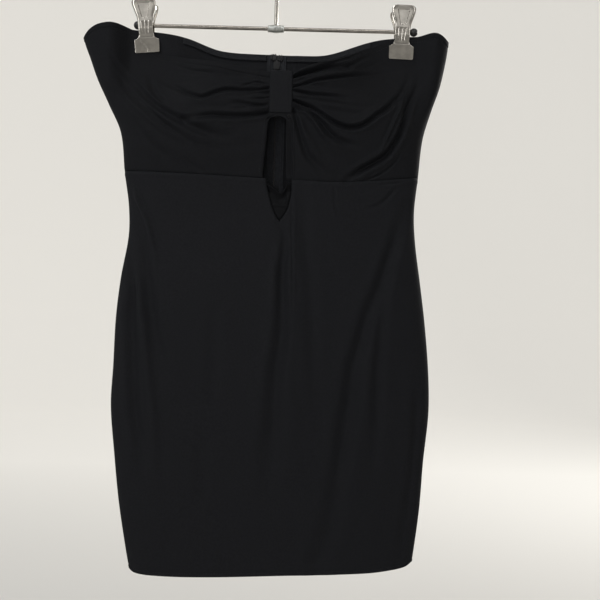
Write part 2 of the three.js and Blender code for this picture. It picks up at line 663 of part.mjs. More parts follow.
function hook() {
  const bend = HOOK.inner + HOOK.wire;
  const on = (degrees) => {
    const a = THREE.MathUtils.degToRad(degrees);
    return new THREE.Vector3(bend * Math.cos(a), 0, -HOOK.inner + bend * Math.sin(a));
  };
  const first = -50;
  const points = [];
  for (let down = FERRULE.socket - CLEAR; down > HOOK.straight; down -= 8) {
    points.push(new THREE.Vector3(0, 0, -down));
  }
  const start = new THREE.Vector3(0, 0, -HOOK.straight);
  const heading = on(first + 1).sub(on(first)).normalize().multiplyScalar(11);
  const neck = new THREE.CubicBezierCurve3(start, new THREE.Vector3(0, 0, -HOOK.straight + 12),
    on(first).sub(heading), on(first));
  points.push(...neck.getPoints(6));
  for (let a = first + 12; a <= HOOK.tip; a += 12) points.push(on(a));
  const path = new THREE.CatmullRomCurve3(points);
  const section = new THREE.Shape();
  section.absarc(0, 0, HOOK.wire, 0, 2 * Math.PI);
  const wire = new THREE.ExtrudeGeometry(section, { steps: 44, extrudePath: path, curveSegments: 4 });
  const tip = new THREE.SphereGeometry(HOOK.wire + 0.4, 10, 6);
  tip.translate(...points[points.length - 1].toArray());
  add("hanger_hook", shaped(solid(wire).add(solid(tip))), nickel());
}

// One leaf of a clip, row by row: height over the bar, half width, distance out, bent edges
const LEAF = [
  { over: 29.6, half: 11.4, out: 13.2, bent: 1.2 },
  { over: 28, half: 14, out: 12.9, bent: 1.6 },
  { over: 24, half: 14.8, out: 12.2, bent: 1.6 },
  { over: 16, half: 13, out: 10.5, bent: 2 },
  { over: 9, half: 10.6, out: 8.9, bent: 1.7 },
  { over: 4, half: 9.7, out: 7.8, bent: 1.2 },
  { over: -4, half: 9.2, out: 6.9, bent: 0.6 },
  { over: -11, half: 9, out: 4.8, bent: 0.5 },
  { over: -15, half: 10.6, out: 3.4, bent: 0.3 },
  { over: -17.6, half: 14.6, out: 2.9, bent: 0 },
  { over: -18.6, half: 15.2, out: 2.85, bent: 0 },
  { over: -26, half: 15.2, out: 2.85, bent: 0 },
  { over: -33.4, half: 15, out: 2.85, bent: 0 },
  { over: -34.4, half: 14.2, out: 2.85, bent: 0 },
];
const METAL = 1.1;
const EAR = { front: 4.5, back: 3.1, thick: 1, radius: 4.8, bore: 3.3 };
function leafPlate(side) {
  const columns = 7;
  const grid = (inset) => LEAF.map((row) => Array.from({ length: columns }, (_, j) => {
    const f = THREE.MathUtils.lerp(-1, 1, j / (columns - 1));
    const out = row.out - row.bent * f ** 4 - inset;
    return new THREE.Vector3(row.half * f, side * out, row.over);
  }));
  return wallBetween(grid(0), grid(METAL));
}

function ear(side, x) {
  const top = smooth([...LEAF].reverse(), "over", "out", 0) - METAL / 2;
  const shape = new THREE.Shape();
  shape.moveTo(top, 6);
  shape.lineTo(0, EAR.radius);
  shape.absarc(0, 0, EAR.radius, Math.PI / 2, 1.5 * Math.PI);
  shape.lineTo(top - 1.4, -5);
  shape.lineTo(top, 0);
  const bore = new THREE.Path();
  bore.absarc(0, 0, EAR.bore, 0, 2 * Math.PI);
  shape.holes.push(bore);
  const geometry = new THREE.ExtrudeGeometry(shape, { depth: EAR.thick, bevelEnabled: false, curveSegments: 5 });
  geometry.applyMatrix4(new THREE.Matrix4().set(0, 0, 1, x - EAR.thick / 2, side, 0, 0, 0, 0, 1, 0, 0, 0, 0, 0, 1));
  return outward(mergeVertices(bareOf(geometry), 1e-4));
}

function bareOf(geometry) {
  geometry.deleteAttribute("normal");
  geometry.deleteAttribute("uv");
  return geometry;
}

function clip({ name, x, down, lean }) {
  const tilt = THREE.MathUtils.degToRad(lean);
  const bar = new THREE.Vector3(x - Math.tan(tilt) * (down - BAR.down), 0, -BAR.down);
  for (const [part, side, at] of [["front", FRONT, EAR.front], ["back", BACK, EAR.back]]) {
    const leaf = solid(leafPlate(side)).add(solid(ear(side, at))).add(solid(ear(side, -at)));
    const mesh = add(`${name}_${part}`, shaped(leaf), nickel());
    mesh.position.copy(bar);
    mesh.rotation.y = -tilt;
  }
  const bore = BAR.radius + CLEAR;
  const half = EAR.back - EAR.thick / 2 - 2 * CLEAR;
  const ring = [[bore, -half], [4.2, -half], [4.2, half], [bore, half], [bore, -half]];
  const spring = new THREE.LatheGeometry(ring.map(([r, h]) => new THREE.Vector2(r, h)), 16);
  spring.rotateZ(Math.PI / 2);
  add(`${name}_spring`, spring, nickel()).position.copy(bar);
}

bustPiece("bust_left", -1);
bustPiece("bust_right", 1);
bustTab();
skirtFront();
keyholeInset();
backPiece("back_left", -1);
backPiece("back_right", 1);
backBand("back_band_left", -1);
backBand("back_band_right", 1);
zipTape("zip_tape_left", -1);
zipTape("zip_tape_right", 1);
zipPull(zipSlider());
hangerBar();
ballEnd("bar_end_left", BAR.left, -1);
ballEnd("bar_end_right", BAR.right, 1);
ferrule();
hook();
CLIPS.forEach(clip);

export default dress;
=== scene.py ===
# A strapless bodycon dress with a gathered bust, held by the two clips of a metal hanger.
# Pattern places are in millimetres: x to the right, down below the hook's seat; MM makes metres.
import math

import bmesh
import bpy
import numpy as np
from mathutils import Matrix, Vector


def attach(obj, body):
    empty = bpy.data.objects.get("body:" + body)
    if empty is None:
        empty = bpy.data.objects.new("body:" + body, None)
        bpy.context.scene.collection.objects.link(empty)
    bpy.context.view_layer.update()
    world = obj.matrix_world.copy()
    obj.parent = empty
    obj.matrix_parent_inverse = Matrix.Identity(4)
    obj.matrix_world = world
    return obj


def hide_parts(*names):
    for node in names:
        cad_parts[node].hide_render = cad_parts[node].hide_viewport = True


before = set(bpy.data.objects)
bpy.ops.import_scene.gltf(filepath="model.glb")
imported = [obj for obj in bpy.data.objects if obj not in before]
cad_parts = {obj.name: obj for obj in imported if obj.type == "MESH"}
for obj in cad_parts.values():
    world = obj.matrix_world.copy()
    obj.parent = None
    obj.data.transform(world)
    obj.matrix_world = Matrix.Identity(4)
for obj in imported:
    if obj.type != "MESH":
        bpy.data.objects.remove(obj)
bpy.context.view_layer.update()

MM = 0.001
FRONT, BACK = -1, 1
BODY = "dress"
SEAM = 0.3
WALL = 1.2
SHEET = 0.9
# Points closer than this, in metres, are joined
WELD = 1e-6

# Outline from the front and depth of the section: down, left, right, front, back
OUTLINE = np.array([
    (110, -242.5, 216.5, 23, 16),
    (134, -239.5, 215.5, 24, 16),
    (160, -230, 211.5, 25, 16),
    (185, -220.5, 206, 26, 16),
    (215, -206, 196, 26, 16),
    (250, -190, 186.5, 25, 15),
    (300, -184, 182, 21, 14),
    (340, -178, 178.5, 19, 14),
    (378, -177.2, 180.8, 19, 15),
    (430, -185.5, 188.5, 21, 17),
    (480, -190.5, 195.5, 22, 18),
    (540, -192.3, 201.5, 22, 18),
    (590, -194, 203, 21, 17),
    (650, -188.2, 198, 20, 16),
    (710, -181, 194.5, 19, 15),
    (768, -171, 188, 18, 14),
    (800, -164.5, 183.5, 18, 14),
])
LEFT_LINE, RIGHT_LINE, FRONT_DEPTH, BACK_DEPTH = 1, 2, 3, 4

# Edges across the dress: x, down
TOP_FRONT = np.array([
    (-240, 134), (-230, 124), (-218, 118.5), (-200, 117), (-184, 119.5), (-174, 124), (-161, 137),
    (-150, 147), (-139, 151.8), (-121, 154.4), (-103, 159.4), (-64, 166.6), (-22, 174), (9, 177.5),
    (22, 179), (28, 175), (36, 170), (46, 166.3), (58, 163), (72, 160), (83, 156), (92, 151), (102, 145.5),
    (112, 141), (122, 136), (143, 126), (158, 122), (178, 120.6), (196, 118.5), (206, 121), (215, 127),
])
TOP_BACK = np.array([
    (-240, 134), (-230, 124), (-218, 118.5), (-200, 117), (-178, 120.6), (-159, 122), (-112, 127.6),
    (-68, 139.8), (-20, 142.7), (45, 143), (66, 141), (120, 127.3), (158, 122), (178, 120.6),
    (196, 118.5), (206, 121), (215, 127),
])
UNDERBUST = np.array([(-183, 298), (-120, 300.5), (-11, 304.4), (72, 307), (130, 303.5), (180, 297.4)])
HEM = np.array([
    (-168, 791), (-158, 796), (-125, 797.4), (-60, 796), (-10, 793.5), (70, 790), (130, 786.8),
    (161, 783.2), (178, 779.8), (186, 775),
])

# Inner edges of the pieces down the dress: down, x
BUST_LEFT_EDGE = np.array([
    (150, 4), (222, 4), (225.5, 6.4), (229.5, 6.4), (231, 0), (232.2, -3.4), (234.5, -5.2), (240, -5.8),
    (261, -7.6), (284, -9.4), (310, -11.3),
])
BUST_RIGHT_EDGE = np.array([
    (150, 14), (222, 14), (225.5, 7), (229.2, 7), (230.6, 11.5), (232.3, 14.8), (235, 16.4), (240, 16.8),
    (269, 17.2), (310, 18.6),
])
NOTCH_LEFT = np.array([
    (300, -6.6), (311, -5.8), (323, -3.2), (340, 1.7), (350, 6), (357, 11), (360, 11), (900, 11),
])
NOTCH_RIGHT = np.array([(300, 24.6), (322, 24.7), (340, 21.3), (350, 16), (357, 11), (360, 11), (900, 11)])

# Soft fullness of the two bust pieces: x, down, rise, across, along
CUPS = [(-112, 235, 6, 62, 48), (112, 232, 6, 58, 48)]

# Clips: x and down of the jaw's middle, lean in degrees, direction of the dress's middle
CLIPS = {"clip_left": (-159.7, 142.3, 5, 1), "clip_right": (156.9, 140.6, -1.5, -1)}
PRESS_HALF, PRESS_BELOW, PRESS_UNDER, PRESS_IN, PRESS_OUT = 18, 152, 235, 92, 46
TAB_LEFT, TAB_RIGHT, TAB_TOP, TAB_BOTTOM, TAB_EASE = -4.4, 23, 173.9, 226, 0.6
ZIP_X, ZIP_TOP, ZIP_BOTTOM, ZIP_GAP, ZIP_TAPE, ZIP_BEAD = 1.6, 145, 470, 3, 12, 0.6
BAND_HEIGHT, BAND_REACH = 8, 118

# Stitch lines: distance in from each edge, half width of the groove, and one stitch
TOP_STITCH, HEM_STITCH, ZIP_STITCH, KEYHOLE_STITCH, GROOVE = 7, 4, 7, 4.5, 0.9
STITCH_LENGTH, STITCH_GAP, STITCH_RADIUS, STITCH_LIFT = 2.4, 0.9, 0.24, 0.05

# Keyhole between the bust pieces: its straight part down, and the strip that slopes in on its right
KEYHOLE_TOP, KEYHOLE_BOTTOM, KEYHOLE_STRIP = 232, 300, 6.5

# Folds: places along the line, half width at both ends, depth (a ridge is negative), share kept
# at the end
FRONT_FOLDS = [
    ([(-8, 236), (-4, 231), (1, 228.6), (8, 227.6), (16, 228.5), (20, 232)], 1.3, 1.3, 2.2, 0.6),
    ([(-3, 195), (-19, 198), (-41, 199), (-58, 199), (-73, 204), (-86, 209), (-102, 205), (-120, 196),
      (-139, 186), (-154, 181)], 2.2, 5, 3.6, 0.2),
    ([(-3, 193), (-12, 191), (-20, 189), (-29, 191), (-41, 196)], 1.8, 2.2, 1.6, 0.3),
    ([(-3, 216), (-19, 217), (-34, 215), (-47, 215), (-62, 218)], 2, 4.5, 2.6, 0),
    ([(-3, 224), (-13, 227), (-34, 230), (-55, 231), (-74, 231), (-94, 234), (-109, 236)], 4, 6, 5, 0.4),
    ([(-44, 253), (-61, 256), (-79, 252), (-93, 247), (-108, 240), (-123, 232), (-137, 224), (-149, 215),
      (-162, 203), (-174, 190), (-187, 176), (-198, 162), (-208, 147), (-216, 133)], 9, 4.2, 5, 0),
    ([(-100, 263), (-113, 254), (-128, 245), (-146, 230), (-162, 215), (-180, 196), (-196, 174),
      (-206, 158), (-215, 142)], 5, 7, 3.4, 0),
    ([(-123, 225), (-136, 218), (-148, 208), (-160, 196), (-173, 183), (-186, 170),
      (-198, 158), (-207, 145)], 2.6, 2.8, -1, 0),
    ([(-131, 217), (-141, 209), (-148, 199), (-153, 185), (-159, 168)], 4.5, 6, 3, 0.5),
    ([(-135, 251), (-147, 241), (-160, 229), (-175, 216), (-187, 203), (-202, 189),
      (-214, 169)], 4, 5, -1.2, 0),
    ([(-122, 288), (-136, 277), (-149, 266), (-163, 250), (-179, 229), (-193, 215)], 9, 9, 2.2, 0),
    ([(-78, 301), (-97, 291), (-112, 280)], 5, 5, 0.9, 0),
    ([(-71, 179), (-83, 177), (-100, 174), (-117, 168), (-137, 162)], 2, 3, 1.3, 0.4),
    ([(-78, 186), (-100, 187), (-119, 185), (-139, 180)], 3, 5, 1, 0),
    ([(-3, 186), (-19, 185), (-32, 186)], 1.6, 1.8, 0.9, 0),
    ([(-3, 203), (-19, 202), (-36, 206)], 1.6, 2, 1.1, 0),
    ([(-3, 209), (-16, 209), (-28, 210)], 1.6, 2, 0.8, 0),
    ([(-19, 158), (-17.6, 172), (-17, 188), (-17.6, 202)], 1.2, 1.2, 0.8, 0.2),
    ([(23, 182), (35, 177), (49, 173), (62, 169), (76, 166), (90, 165)], 2.6, 7, 7, 0.6),
    ([(86, 166), (96, 162), (104, 156), (114, 150), (120, 147)], 3, 3, 2.5, 0.3),
    ([(70, 162), (80, 159), (90, 155), (98, 150), (105, 146)], 3, 3, 2.5, 0.3),
    ([(115, 162), (123, 158), (130, 152), (134, 146)], 3, 3, 2.5, 0.5),
    ([(24, 193), (36, 190), (48, 186), (62, 183), (78, 180), (95, 176), (111, 173), (127, 170), (141, 166),
      (153, 162), (163, 158)], 2.4, 4.4, 4.2, 0.6),
    ([(24, 197), (32, 199), (44, 202), (59, 203), (74, 204), (87, 205), (101, 204)], 2.2, 5, 3.6, 0),
    ([(45, 208), (59, 211), (81, 213), (106, 215), (130, 213)], 3, 5, 1.4, 0),
    ([(25, 210), (35, 214), (45, 218), (55, 223), (65, 230), (75, 236), (84, 240), (97, 242), (109, 239),
      (118, 233), (128, 224), (138, 217), (147, 207), (154, 199), (160, 189), (165, 178), (167, 169),
      (168, 159)], 3, 5.5, 5.2, 0.6),
    ([(38, 219), (48, 226), (58, 235), (66, 245), (75, 253), (86, 259), (101, 263),
      (117, 268)], 3.4, 6.5, 4, 0),
    ([(25, 214), (36, 221), (48, 233), (58, 246), (68, 259), (75, 268)], 3, 3.5, -2, 0),
    ([(25, 222), (29, 234), (33, 248), (38, 263), (44, 276), (53, 285), (65, 296),
      (78, 303)], 3.5, 8, 3.4, 0.2),
    ([(34, 227), (43, 241), (53, 254), (61, 267), (71, 278), (81, 285)], 5, 9, 2, 0),
    ([(90, 306), (98, 300), (108, 293), (120, 286), (132, 279), (141, 272), (148, 262), (154, 251),
      (159, 239), (162, 227), (165, 214), (170, 201), (176, 187), (179, 175), (180, 164)], 5.5, 5, 7, 0.3),
    ([(111, 305), (123, 301), (135, 295), (144, 288), (153, 279), (158, 269)], 2, 2.2, 1.5, 0.2),
    ([(132, 270), (137, 259), (143, 245), (149, 231), (155, 216), (159, 203), (166, 186),
      (171, 175)], 3, 3, -2, 0.3),
    ([(9, 357), (17, 368), (18, 392), (16, 417), (17, 453), (17, 490), (15, 515), (12, 539), (11, 576),
      (11, 601), (8, 637), (7, 687), (7, 736)], 5.25, 22, 5.4, 0),
    ([(25, 311), (26, 355), (28, 404), (30, 478), (31, 514)], 1.6, 1.8, 1.2, 0),
    ([(29, 311), (30, 355), (31, 404), (33, 478)], 2.2, 2.2, -0.6, 0),
    ([(39, 309), (42, 367), (50, 428), (55, 489), (58, 538), (64, 587), (70, 630)], 10.5, 12.8, 2.5, 0),
    ([(-172, 314), (-167, 330), (-160, 345), (-152, 362), (-147, 379), (-141, 399),
      (-137, 418)], 4, 4.5, -3, 0),
    ([(-170, 392), (-166, 415), (-161, 436), (-157, 460), (-152, 495), (-147, 531), (-142, 568),
      (-137, 605), (-135, 641), (-134, 678), (-132, 709)], 6, 9.6, -3.7, 0),
    ([(-164, 363), (-156, 387), (-151, 415), (-146, 445), (-141, 476), (-135, 506), (-127, 543),
      (-120, 580)], 6.75, 11.2, 3.1, 0),
    ([(-168, 412), (-168, 446), (-169, 483), (-166, 519), (-164, 556), (-161, 593), (-155, 629),
      (-152, 666), (-149, 703)], 9, 9.6, 4.5, 0),
    ([(-66, 456), (-65, 517), (-68, 603)], 12, 12.8, 1.6, 0),
    ([(-79, 627), (-75, 676), (-77, 725)], 12, 12.8, 1.6, 0),
    ([(168, 332), (159, 358), (153, 382), (145, 407), (138, 432), (128, 457), (120, 481), (114, 506),
      (106, 537), (103, 574), (98, 611), (95, 647), (90, 684), (85, 721), (77, 752),
      (69, 773)], 10, 17, 5.4, 0.5),
    ([(151, 416), (143, 450), (139, 487), (138, 512), (137, 548), (137, 585), (136, 622), (134, 659),
      (132, 695)], 9, 11.2, 3.1, 0),
    ([(186, 547), (186, 608), (184, 657), (180, 694), (174, 743), (170, 770)], 7.5, 9.6, 2.5, 0.5),
    ([(76, 310), (78, 323), (79, 335), (84, 348), (97, 352), (113, 352)], 2, 2.5, 1.1, 0),
    ([(155, 310), (146, 321), (136, 331), (124, 337), (112, 338)], 3, 3.5, 1.8, 0),
    ([(167, 301), (158, 305), (139, 308), (121, 311)], 2, 2.5, 0.8, 0),
    ([(103, 316), (113, 323), (117, 333)], 2, 2.5, 0.6, 0),
    ([(-18, 182), (-60, 181), (-100, 178), (-134, 172)], 7, 9, 1.8, 0.3),
    ([(-10, 222), (-60, 222), (-110, 222), (-140, 212)], 6, 9, 1.6, 0.2),
    ([(30, 186), (70, 195), (110, 190), (150, 178)], 5, 9, 1.8, 0.3),
    ([(34, 212), (70, 222), (104, 224), (138, 208)], 6, 10, 2, 0.2),
    ([(-16, 262), (-70, 268), (-120, 262), (-160, 240)], 9, 12, 1.2, 0.2),
]
BACK_FOLDS = [
    ([(-142, 158), (-100, 226), (-40, 285)], 7, 14, 4, 0),
    ([(140, 158), (104, 216), (52, 262)], 7, 13, 4.5, 0),
    ([(-172, 165), (-171, 236), (-150, 320)], 8, 12, 3, 0),
    ([(168, 162), (164, 247), (140, 345)], 8, 13, 3.5, 0),
    ([(-60, 330), (-94, 356), (-165, 372)], 9, 9, 2.5, 0.3),
    ([(70, 345), (104, 364), (168, 366)], 9, 10, 2.5, 0.3),
    ([(-40, 500), (-68, 643), (-72, 792)], 16, 26, 3.5, 0.8),
    ([(60, 520), (85, 651), (88, 785)], 16, 24, 3, 0.8),
    ([(-10, 160), (-52, 164), (-96, 150)], 4, 8, 1.4, 0.2),
    ([(14, 165), (56, 169), (98, 152)], 4, 8, 1.6, 0.2),
    ([(-6, 340), (-44, 346), (-90, 344)], 4, 8, 1.4, 0),
    ([(10, 352), (50, 356), (92, 350)], 4, 8, 1.2, 0),
    ([(-120, 420), (-132, 525), (-128, 640)], 12, 18, 1.8, 0),
    ([(130, 430), (142, 540), (138, 650)], 12, 18, 1.6, 0),
    ([(6, 478), (11, 565), (8, 660)], 6, 12, 1.3, 0),
]


def smooth(rows, at, column=1):
    """Smooth curve through a table's rows, read at the given places of its first column."""
    xs, ys = rows[:, 0], rows[:, column]
    last = len(xs) - 1
    before = np.maximum(np.arange(last + 1) - 1, 0)
    after = np.minimum(np.arange(last + 1) + 1, last)
    slope = (ys[after] - ys[before]) / (xs[after] - xs[before])
    at = np.asarray(at, float)
    i = np.clip(np.searchsorted(xs, at, "left") - 1, 0, last - 1)
    span = xs[i + 1] - xs[i]
    t = np.clip((at - xs[i]) / span, 0, 1)
    rise = t * t * (3 - 2 * t)
    leave = t * (1 - t) ** 2 * span * slope[i]
    arrive = t * t * (1 - t) * span * slope[i + 1]
    return ys[i] + (ys[i + 1] - ys[i]) * rise + leave - arrive


def fade_in(start, end, at):
    """Smooth step from 0 at the start to 1 at the end."""
    t = np.clip((at - start) / (end - start), 0, 1)
    return t * t * (3 - 2 * t)


def bell(at, wide):
    """Falls from 1 on a line to nothing a few widths away."""
    return np.exp(-(at / wide) ** 2)


def half_width(down):
    return (smooth(OUTLINE, down, RIGHT_LINE) - smooth(OUTLINE, down, LEFT_LINE)) / 2


def middle(down):
    return (smooth(OUTLINE, down, RIGHT_LINE) + smooth(OUTLINE, down, LEFT_LINE)) / 2


def share_at(x, down):
    return (x - middle(down)) / half_width(down)


def pressed(x, down):
    """How far the clips press the front and back together, from 0 to 1."""
    share = np.zeros(np.broadcast(x, down).shape)
    for clip_x, _, _, inward in CLIPS.values():
        away = (x - clip_x) * inward
        reach = np.where(away > 0, PRESS_IN, PRESS_OUT)
        across = 1 - fade_in(PRESS_HALF, reach, np.abs(away))
        along = 1 - fade_in(PRESS_BELOW, PRESS_UNDER, down)
        share = np.maximum(share, across * along)
    return share


def tube(side, share, down):
    """Point of the dress's plain surface; share runs from -1 at its left to 1."""
    x = middle(down) + half_width(down) * share
    depth = smooth(OUTLINE, down, FRONT_DEPTH if side == FRONT else BACK_DEPTH)
    still = 1 - pressed(x, down)
    flat = WALL + SEAM / 2
    y = depth * np.sqrt(np.clip(1 - share ** 4, 0, 1)) * still + flat * (1 - still)
    if side == FRONT:
        for cup_x, cup_down, rise, across, along in CUPS:
            y = y + still * rise * np.exp(-((x - cup_x) / across) ** 2 - ((down - cup_down) / along) ** 2)
    return np.stack([x, side * np.maximum(y, SEAM / 2), -down], -1)


# Steps along a fold, and the share of its depth where it starts in open cloth
FOLD_STEPS = 30
FOLD_START = 0.2


def traced(fold):
    """Line of a fold with its half width and depth at each step."""
    places, slim, wide, deep, keep = fold
    rows = np.array(places, float)
    run = np.concatenate([[0], np.cumsum(np.hypot(*np.diff(rows, axis=0).T))])
    table = np.column_stack([run, rows])
    t = np.linspace(0, 1, FOLD_STEPS + 1)
    line = np.column_stack([smooth(table, t * run[-1], 1), smooth(table, t * run[-1], 2)])
    ending = keep + (1 - keep) * (1 - fade_in(0.6, 1, t))
    gathered = min(abs(rows[0, 0] - TAB_LEFT), abs(rows[0, 0] - TAB_RIGHT)) < 4 and rows[0, 1] < TAB_BOTTOM
    starting = 1 if gathered else FOLD_START + (1 - FOLD_START) * fade_in(0, 0.2, t)
    return line, slim + (wide - slim) * t, deep * ending * starting


def creased(folds, x, down):
    """Depth of the folds at each place: a trough with a crisp core and low shoulders along each line."""
    total = np.zeros(x.shape)
    for fold in folds:
        line, widths, depths = traced(fold)
        reach = 3 * widths.max()
        near = (x > line[:, 0].min() - reach) & (x < line[:, 0].max() + reach)
        near &= (down > line[:, 1].min() - reach) & (down < line[:, 1].max() + reach)
        if not near.any():
            continue
        here, low = x[near], down[near]
        best = np.full(here.shape, 1e9)
        wide = np.ones(here.shape)
        deep = np.zeros(here.shape)
        for k in range(FOLD_STEPS):
            step = line[k + 1] - line[k]
            t = np.clip(((here - line[k][0]) * step[0] + (low - line[k][1]) * step[1]) / (step @ step), 0, 1)
            gap = np.hypot(here - line[k][0] - step[0] * t, low - line[k][1] - step[1] * t)
            nearer = gap < best
            best = np.where(nearer, gap, best)
            wide = np.where(nearer, widths[k] + (widths[k + 1] - widths[k]) * t, wide)
            deep = np.where(nearer, depths[k] + (depths[k + 1] - depths[k]) * t, deep)
        r = best / wide
        core = 0.25 * np.clip((6.5 - wide) / 3, 0, 1) * np.exp(-(2.4 * r) ** 2)
        total[near] += np.where(r < 3, deep * ((0.9 - 1.35 * r * r) * np.exp(-r * r) + core), 0)
    return total


def calm(x, down, share):
    """Folds die out under the tab and the clips and at the side seams."""
    aside = np.maximum(TAB_LEFT - x, x - TAB_RIGHT)
    tab = np.maximum(fade_in(0, 1.5, aside), fade_in(1, 6, down - TAB_BOTTOM))
    return tab * (1 - fade_in(0.93, 1, np.abs(share))) * (1 - pressed(x, down))


def ripples(x, down):
    """Soft unevenness of hanging jersey, mostly upright."""
    waves = [(0.045, 0.006, 0.4, 0.35), (0.083, -0.011, 1.9, 0.16), (0.021, 0.035, 3.1, 0.25)]
    return sum(size * np.sin(across * x + along * down + phase) for across, along, phase, size in waves)


def gathers(x, down):
    """Small pleats that fan out from both edges of the tab."""
    fan = 0
    for edge, way, phase in ((TAB_LEFT, -1, 0.0), (TAB_RIGHT, 1, 1.3)):
        away = (x - edge) * way
        spread = (down - 200) / (1 + np.maximum(away, 0) / 70)
        size = 0.7 * np.exp(-(np.maximum(away, 0) / 32) ** 2) * (away > -2)
        fan = fan + size * (np.sin(spread * 1.05 + phase) + 0.5 * np.sin(spread * 1.9 + 2 * phase))
    return fan * fade_in(176, 182, down) * (1 - fade_in(222, 232, down))


def turned_edge(inside, stitch, ending, rise, dent):
    """Turned edge: raised up to its ending, with the stitch line in a groove."""
    return rise * (1 - fade_in(*ending, inside)) - dent * bell(inside - stitch, GROOVE)


def zip_relief(x, down):
    """Raised and stitched cloth beside the zip, and the centre seam below it."""
    away = np.abs(x - ZIP_X) - ZIP_GAP / 2
    zipped = 1 - fade_in(ZIP_BOTTOM, ZIP_BOTTOM + 14, down)
    seam = 0.8 * bell(x - ZIP_X, 1.5) * (1 - zipped)
    return zipped * (0.4 * bell(away, 3.2) - 0.35 * bell(away - ZIP_STITCH, GROOVE)) - seam


def keyhole_relief(x, down):
    """Rolled left edge of the keyhole, and the strip that slopes in along its right edge."""
    upper = fade_in(KEYHOLE_TOP, KEYHOLE_TOP + 6, down)
    lower = 1 - fade_in(KEYHOLE_BOTTOM, KEYHOLE_BOTTOM + 4, down)
    left = smooth(BUST_LEFT_EDGE, down) - x
    right = x - smooth(BUST_RIGHT_EDGE, down)
    rolled = 0.5 * bell(left - 3, 2) - 0.8 * bell(left, GROOVE)
    slope = np.clip(right / KEYHOLE_STRIP, 0, 1) * (1 - fade_in(KEYHOLE_STRIP, KEYHOLE_STRIP + 1.5, right))
    return upper * lower * (rolled - 2.4 * slope + 0.8 * bell(right - 8.8, 1.3))


def notch_relief(x, down):
    """Edges of the V notch, turned in."""
    within = (down > 303) * (1 - fade_in(353, 360, down))
    edges = bell(smooth(NOTCH_LEFT, down) - x, 1.4) + bell(x - smooth(NOTCH_RIGHT, down), 1.4)
    return -1.1 * within * edges


def edge_relief(side, x, down):
    """Turned edges and seams: rise outwards in millimetres."""
    below = down - smooth(TOP_FRONT if side == FRONT else TOP_BACK, x)
    above = smooth(HEM, x) - down
    rise = turned_edge(below, TOP_STITCH, (5.5, 8), 0.35, 0.45)
    rise = rise + turned_edge(above, HEM_STITCH, (2.5, 4.5), 0.3, 0.35)
    if side == BACK:
        return rise + zip_relief(x, down)
    seam = down - smooth(UNDERBUST, x)
    rise = rise - 0.9 * bell(seam, 1.5) + 0.25 * bell(seam - 4.5, 2.5)
    return rise + keyhole_relief(x, down) + notch_relief(x, down)


def facing(side, share, down, probe=0.001):
    """Outward normal of the plain surface, from two short steps on it."""
    step = np.where(share > 0, -probe, probe)
    here = tube(side, share, down)
    across = (tube(side, share + step, down) - here) / step[..., None]
    along = tube(side, share, down + 1) - here
    normal = np.cross(across, along)
    normal /= np.maximum(np.linalg.norm(normal, axis=-1, keepdims=True), 1e-9)
    return normal * np.where(normal[..., 1:2] * side < 0, -1, 1)


def cloth(side, share, down, lift=0.0):
    """Point of the creased surface in millimetres, moved out by lift."""
    share, down = np.broadcast_arrays(np.asarray(share, float), np.asarray(down, float))
    plain = tube(side, share, down)
    x = plain[..., 0]
    folds = FRONT_FOLDS if side == FRONT else BACK_FOLDS
    depth = (creased(folds, x, down) + ripples(x, down)) * calm(x, down, share)
    if side == FRONT:
        depth = depth + gathers(x, down) * fade_in(0, 2, np.maximum(TAB_LEFT - x, x - TAB_RIGHT))
    rise = edge_relief(side, x, down) * (1 - pressed(x, down)) - depth + lift
    moved = plain + facing(side, share, down) * rise[..., None]
    moved[..., 1] = side * np.maximum(side * moved[..., 1], SEAM / 2)
    return moved


def cloth_at(side, x, down, lift=0.0):
    """Point of the creased surface at a place across the dress."""
    return cloth(side, share_at(x, down), down, lift)


def linked(name, data):
    """Adds an object with this data to the scene."""
    made = bpy.data.objects.new(name, data)
    bpy.context.scene.collection.objects.link(made)
    return made


def shade_smooth(mesh):
    mesh.polygons.foreach_set("use_smooth", [True] * len(mesh.polygons))


# Materials
def material(name, colour, roughness, metal=0.0, specular=0.5):
    made = bpy.data.materials.new(name)
    made.use_nodes = True
    shader = made.node_tree.nodes["Principled BSDF"]
    shader.inputs["Base Color"].default_value = (*colour, 1)
    shader.inputs["Roughness"].default_value = roughness
    shader.inputs["Metallic"].default_value = metal
    shader.inputs["Specular IOR Level"].default_value = specular
    return made, made.node_tree, shader


def noise(tree, scale, detail=3.0):
    place = tree.nodes.new("ShaderNodeTexCoord")
    texture = tree.nodes.new("ShaderNodeTexNoise")
    texture.inputs["Scale"].default_value = scale
    texture.inputs["Detail"].default_value = detail
    tree.links.new(place.outputs["Object"], texture.inputs["Vector"])
    return texture.outputs["Fac"]


def ramp(tree, value, low, high, start=0.35, end=0.65):
    node = tree.nodes.new("ShaderNodeValToRGB")
    node.color_ramp.elements[0].position = start
    node.color_ramp.elements[1].position = end
    node.color_ramp.elements[0].color = (*low, 1)
    node.color_ramp.elements[1].color = (*high, 1)
    tree.links.new(value, node.inputs["Fac"])
    return node.outputs["Color"]


def bump(tree, height, distance, strength=1.0, under=None):
    node = tree.nodes.new("ShaderNodeBump")
    node.inputs["Distance"].default_value = distance
    node.inputs["Strength"].default_value = strength
    tree.links.new(height, node.inputs["Height"])
    if under is not None:
        tree.links.new(under, node.inputs["Normal"])
    return node.outputs["Normal"]


def wales(tree, period, direction):
    """Fine parallel ribs, one for each period in metres."""
    place = tree.nodes.new("ShaderNodeTexCoord")
    wave = tree.nodes.new("ShaderNodeTexWave")
    wave.bands_direction = direction
    wave.inputs["Scale"].default_value = 2 * math.pi / (20 * period)
    wave.inputs["Distortion"].default_value = 0.6
    wave.inputs["Detail"].default_value = 1
    tree.links.new(place.outputs["Object"], wave.inputs["Vector"])
    return wave.outputs["Fac"]


